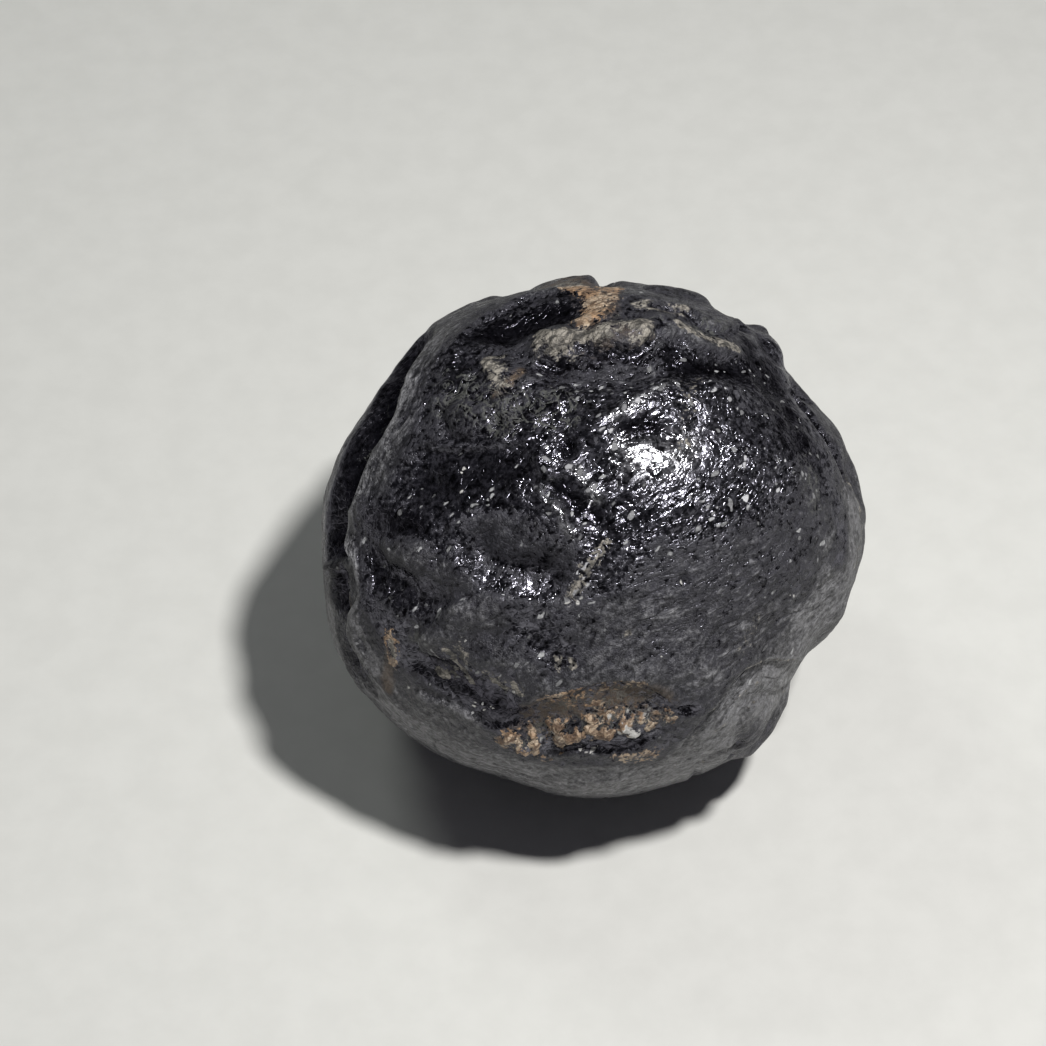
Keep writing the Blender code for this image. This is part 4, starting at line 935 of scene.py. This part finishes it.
class Nodes:
    """A material's node tree, with short calls that add linked nodes to it."""

    def __init__(self, name):
        self.material = bpy.data.materials.new(name)
        self.material.use_nodes = True
        self.tree = self.material.node_tree
        self.shader = self.tree.nodes["Principled BSDF"]
        self.place = self.add("ShaderNodeTexCoord").outputs["Object"]

    def add(self, kind, settings=(), **inputs):
        """A node with these settings and inputs, each a value or another node's output."""
        made = self.tree.nodes.new(kind)
        for name, value in dict(settings).items():
            setattr(made, name, value)
        for name, value in inputs.items():
            self.feed(made.inputs[name.replace("_", " ")], value)
        return made

    def feed(self, socket, value):
        """The value, or the output that it is, goes into the socket."""
        value = value.socket if isinstance(value, Number) else value
        if isinstance(value, bpy.types.NodeSocket):
            self.tree.links.new(value, socket)
        else:
            socket.default_value = value

    def surface(self, name, value):
        """The value, or the output that it is, goes into this input of the shader."""
        self.feed(self.shader.inputs[name], value)

    def maths(self, operation, first, second=0.0, clamp=False):
        """One sum on two numbers."""
        made = self.add("ShaderNodeMath", {"operation": operation, "use_clamp": clamp})
        self.feed(made.inputs[0], first)
        self.feed(made.inputs[1], second)
        return Number(self, made.outputs[0])

    def most(self, first, *others):
        """The greatest of these numbers."""
        for other in others:
            first = self.maths("MAXIMUM", first, other)
        return first

    def vector(self, operation, first, second=None, scale=None):
        """One sum on vectors, as a vector, or as a number for a length."""
        made = self.add("ShaderNodeVectorMath", {"operation": operation})
        self.feed(made.inputs[0], first)
        if second is not None:
            self.feed(made.inputs[1], second)
        if scale is not None:
            self.feed(made.inputs["Scale"], scale)
        if operation in ("LENGTH", "DOT_PRODUCT"):
            return Number(self, made.outputs["Value"])
        return made.outputs["Vector"]

    def scaled(self, vector, scale):
        """A vector or a colour times a number."""
        return self.vector("SCALE", vector, scale=scale)

    def squeezed(self, place, share):
        """The place, less this share of its way along the grain, so that textures are longer that way."""
        length = self.vector("DOT_PRODUCT", place, GRAIN_RUN)
        return self.vector("SUBTRACT", place, self.scaled(GRAIN_RUN, length * share))

    def noise(self, size, detail=3.0, roughness=0.55, place=None, distortion=0.0):
        """Noise of this size, in mm, mostly from -0.5 to 0.5."""
        made = self.add(
            "ShaderNodeTexNoise", Vector=place or self.place, Scale=1 / (size * MM), Detail=detail,
            Roughness=roughness, Distortion=distortion,
        )
        return (Number(self, made.outputs["Fac"]) - 0.5) * 2.0

    def ramp(self, value, low, high, bottom=0.0, top=1.0):
        """The value's stretch from low to high, spread from bottom to top and held there."""
        made = self.add(
            "ShaderNodeMapRange", {"interpolation_type": "SMOOTHSTEP"}, Value=value,
            From_Min=low, From_Max=high, To_Min=bottom, To_Max=top,
        )
        return Number(self, made.outputs[0])

    def eased(self, share, bottom, top):
        """From bottom at a share of 0 to top at 1."""
        return self.ramp(share, 0.0, 1.0, bottom, top)

    def mask(self, name):
        """A painted value."""
        return Number(self, self.add("ShaderNodeAttribute", {"attribute_name": name}).outputs["Fac"])

    def broken(self, name, grain, low, high, strength):
        """A painted mask with its edges and middle broken up by a grain, and nothing beyond the mask."""
        mask = self.mask(name)
        inside = self.ramp(mask, 0.0, 0.3)
        return self.ramp(mask + inside * (grain * strength), low, high)

    def fibre(self):
        """Thin wavy strands along the painted runs, mostly from -0.4 to 0.4."""
        place = self.add("ShaderNodeCombineXYZ", X=self.mask("across"), Y=self.mask("down") * 0.3)
        made = self.add(
            "ShaderNodeTexNoise", Vector=place.outputs[0], Scale=2.0, Detail=2.0, Roughness=0.55,
            Distortion=0.8,
        )
        return (Number(self, made.outputs["Fac"]) - 0.5) * self.mask("strands")

    def blend(self, share, first, second):
        """A colour between two, by the share of the second."""
        made = self.add("ShaderNodeMix", {"data_type": "RGBA"})
        for index, value in ((0, share), (6, first), (7, second)):
            self.feed(made.inputs[index], value)
        return made.outputs[2]


def skin():
    """Near-black grainy tarnish, dusty on its rims and low sides, with earth in its hollows; with painted
    shade in hollows and under ledges, and painted glints and a painted highlight on its dome and ridges.
    """
    nodes = Nodes("tarnished skin")
    edge, deep, calm, lively, painted_glints, speckled = [
        nodes.mask(name) for name in ("edge", "deep", "calm", "lively", "painted_glints", "speck")
    ]
    fine = nodes.noise(0.35, 3.0, 0.7)
    broad = nodes.noise(1.8, 5.0, 0.65, distortion=0.6)
    curls = nodes.noise(0.9, 3.0, 0.55, distortion=2.5)
    wide_curls = nodes.noise(1.3, 2.0, 0.5, distortion=1.6)
    along = nodes.squeezed(nodes.place, STROKE_STRETCH)
    strokes = nodes.noise(0.42, 1.5, 0.55, place=along, distortion=0.7)
    fibre = nodes.fibre()

    # Where it is dusty, stained or crossed by fine lines. The grey is higher where the skin stands out
    # and lower, so blacker, in its hollows.
    grey = nodes.mask("grey") + (fine * 0.35 + broad * 0.22 + strokes * 0.2) + fibre * 0.9 + edge * 1.2
    # Painted shade: the dark mask takes grey away, so the skin is blacker there.
    grey = nodes.maths("SUBTRACT", grey, deep * 0.2, clamp=True)
    raised = curls + fine + edge * 3.0
    rust = nodes.broken("rust", raised, 0.45, 0.8, 1.4)
    brown = nodes.broken("brown", fine * 0.6 + broad, 0.2, 0.9, 0.5)
    pale = nodes.broken("pale", raised, 0.5, 0.9, 1.0)
    line = nodes.maths("ABSOLUTE", wide_curls + fine * 0.25)
    web = nodes.ramp(line, 0.03, 0.13, 1.0, 0.0) * nodes.broken("web", broad, 0.3, 0.8, 0.8)

    # Its grains, each with three lots of its own, and the few of them that are bright flecks: pale grains,
    # and painted glints, most where the glint mask is painted.
    swirl = nodes.add("ShaderNodeTexNoise", Vector=nodes.place, Scale=1 / SWIRL_SIZE, Detail=2.0)
    warped = nodes.vector("ADD", nodes.place, nodes.scaled(swirl.outputs["Color"], SWIRL_REACH))
    warped = nodes.squeezed(warped, GRAIN_STRETCH)
    grains, cracks = [
        nodes.add("ShaderNodeTexVoronoi", {"feature": feature}, Vector=warped, Scale=1 / GRAIN_SIZE)
        for feature in ("F1", "DISTANCE_TO_EDGE")
    ]
    lots = nodes.add("ShaderNodeSeparateColor", Color=grains.outputs["Color"]).outputs
    shade_lot, size_lot, rank_lot = [Number(nodes, lot) for lot in lots]
    from_middle, from_edge = [Number(nodes, made.outputs["Distance"]) for made in (grains, cracks)]
    crack = nodes.ramp(from_edge, 0.0, 0.12)
    chosen = nodes.ramp(rank_lot + broad * 0.06 + painted_glints * 0.14, 0.98, 0.995)
    chosen = nodes.most(chosen, nodes.ramp(speckled, 0.3, 0.5))
    inside = nodes.ramp(from_middle + size_lot * 0.25 - painted_glints * 0.05, 0.28, 0.52, 1.0, 0.0)
    speck = chosen * (inside * nodes.ramp(from_edge + fine * 0.12, 0.03, 0.1))
    speck = nodes.most(speck, nodes.ramp(speckled + fine, 1.3, 1.5))

    # The colour where it is dull.
    low = nodes.blend(nodes.ramp(grey, 0.06, 0.6), BLACK, DARK)
    colour = nodes.blend(nodes.ramp(grey, 0.45, 1.0), low, DUSTY)
    tone = nodes.most(shade_lot * 0.5 + 0.78 + (fine * 1.2 + strokes * 0.5) + fibre * 2.5, 0.1)
    colour = nodes.scaled(colour, tone * nodes.eased(crack, 0.72, 1.0))
    clot = nodes.ramp(strokes + (shade_lot - 0.5) * 0.5, -0.4, 0.3) * nodes.eased(crack, 0.35, 1.0)
    earth = nodes.blend(nodes.ramp(broad, -0.2, 0.2), ORANGE, CREAM)
    colour = nodes.blend(brown * 0.7, colour, BROWN)
    colour = nodes.blend(web * 0.62, colour, WEB)
    colour = nodes.blend(rust, colour, nodes.blend(clot, DARK_EARTH, earth))
    colour = nodes.blend(pale, colour, nodes.blend(clot, DARK_CRUST, CRUST))
    # Painted glints: the flecks are brighter where the glint mask is strong.
    bright = nodes.blend(nodes.ramp(painted_glints, 0.9, 1.8), FLECK, PAINTED_GLINT)
    fleck = nodes.blend(shade_lot, DIM_FLECK, bright)
    # Painted specks: pale grains, cream stubs and the white deposit, with painted glints among them.
    fleck = nodes.blend(nodes.ramp(speckled, 0.2, 0.5), fleck, SPECK_AND_GLINT)
    colour = nodes.blend(speck, colour, fleck)

    # Where it is bare and glossy, and its colour there, which is darker as painted shade where the dark
    # mask is painted and brighter as a painted highlight where the calm mask is.
    dull = nodes.most(rust, pale * 0.8, grey, web * 0.6, speck)
    bare = nodes.ramp(dull + (rank_lot * 0.16 + fine * 0.3), 0.26, 0.6, 1.0, 0.0)
    mirror = nodes.blend(deep, nodes.blend(calm, BARE, PAINTED_HIGHLIGHT_BARE), SHADED_BARE)
    mottle = fine * 1.7 + strokes * 0.6 + shade_lot * 0.7 + 0.6
    mirror = nodes.scaled(mirror, nodes.most(mottle, 0.2))
    blotch = nodes.ramp(fine + curls * 0.6, -0.25, 0.3)
    nodes.surface("Metallic", bare * nodes.eased(blotch, 0.97, nodes.eased(deep, 0.78, 0.95)))
    nodes.surface("Base Color", nodes.blend(bare, colour, mirror))
    nodes.surface("Roughness", size_lot * 0.17 + 0.1 + nodes.eased(bare, 0.34, 0.0))
    nodes.surface("IOR", 1.8)
    nodes.surface("Specular Tint", (0.5, 0.5, 0.52, 1))

    # Its finest relief: bumps, and grains that each face a way of their own.
    height = fine * nodes.eased(bare, 1.1, 0.1) + fibre * 3.2 + crack * 0.13 + strokes * (lively * 0.5 + 0.2)
    bump = nodes.add("ShaderNodeBump", Height=height, Strength=1.0, Distance=BUMP_HEIGHT)
    lean = nodes.vector("SUBTRACT", grains.outputs["Color"], (0.5, 0.5, 0.5))
    lean = nodes.scaled(lean, nodes.maths("POWER", nodes.vector("LENGTH", lean), 3.0))
    livelier = (lively * 1.5 + 0.9) * nodes.eased(calm, 1.0, 0.55) * nodes.eased(deep, 1.0, 0.6)
    facing = nodes.vector("ADD", bump.outputs["Normal"], nodes.scaled(lean, livelier))
    nodes.surface("Normal", nodes.vector("NORMALIZE", facing))
    return nodes.material


def paper():
    """Plain pale paper."""
    nodes = Nodes("paper")
    mottle = nodes.ramp(nodes.noise(3.0, 5.0), -0.5, 0.5)
    nodes.surface("Base Color", nodes.blend(mottle, DARKER_PAPER, PALER_PAPER))
    nodes.surface("Roughness", 0.7)
    return nodes.material


def floor():
    """A round sheet that sweeps up far from the specimen."""
    mesh = bpy.data.meshes.new("floor")
    shape = bmesh.new()
    rings = [(r, 0.0) for r in (*FLOOR_RINGS, FLOOR_RADIUS)]
    turns = [math.radians(a) for a in range(10, 91, 10)]
    rings += [(FLOOR_RADIUS + FLOOR_SWEEP * math.sin(a), FLOOR_SWEEP * (1 - math.cos(a))) for a in turns]
    line = [shape.verts.new((r * MM, 0, z * MM)) for r, z in rings]
    edges = [shape.edges.new(pair) for pair in zip(line, line[1:])]
    bmesh.ops.spin(
        shape, geom=line + edges, axis=(0, 0, 1), cent=(0, 0, 0), steps=FLOOR_SIDES, angle=2 * math.pi,
    )
    bmesh.ops.remove_doubles(shape, verts=shape.verts[:], dist=0.01 * MM)
    bmesh.ops.recalc_face_normals(shape, faces=shape.faces[:])
    shape.to_mesh(mesh)
    shape.free()
    mesh.shade_smooth()
    mesh.materials.append(paper())
    sheet = placed("floor", mesh)


def light(name, direction, distance, width, watts, colour, mirrored):
    """A round soft light that faces the specimen, and whether its reflections show."""
    lamp = bpy.data.lights.new(name, "AREA")
    lamp.shape = "DISK"
    lamp.size = width * MM
    lamp.energy = watts
    lamp.color = colour
    holder = placed(name, lamp)
    holder.location = MIDDLE + Vector(direction).normalized() * distance * MM
    holder.rotation_euler = (MIDDLE - holder.location).to_track_quat("-Z", "Y").to_euler()
    holder.visible_glossy = mirrored


def room():
    """Dim even light from all around."""
    world = bpy.data.worlds.new("room")
    world.use_nodes = True
    world.node_tree.nodes["Background"].inputs["Color"].default_value = ROOM
    bpy.context.scene.world = world


def camera():
    """The photograph's camera: it looks down on the side that faces -Y."""
    lens = bpy.data.cameras.new("camera")
    lens.lens = lens.sensor_width * VIEW_DISTANCE / (PHOTO_SIZE * METRES_PER_PIXEL)
    lens.clip_start = 10 * MM
    holder = placed("camera", lens)
    aside = (np.array(NODULE_MIDDLE) - PHOTO_MIDDLE) * METRES_PER_PIXEL
    place = np.array(MIDDLE) + VIEW_DISTANCE * VIEW_NEAR - aside[0] * VIEW_RIGHT + aside[1] * VIEW_UP
    turn = Matrix((VIEW_RIGHT, VIEW_UP, VIEW_NEAR)).transposed()
    holder.matrix_world = Matrix.Translation(place) @ turn.to_4x4()
    bpy.context.scene.camera = holder


def main():
    camera()
    for name, settings in LIGHTS.items():
        light(name, *settings)
    room()
    floor()
    lump = nodule()
    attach(lump, "root")
    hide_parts("nodule")
    bpy.context.scene.view_settings.view_transform = "Standard"


main()
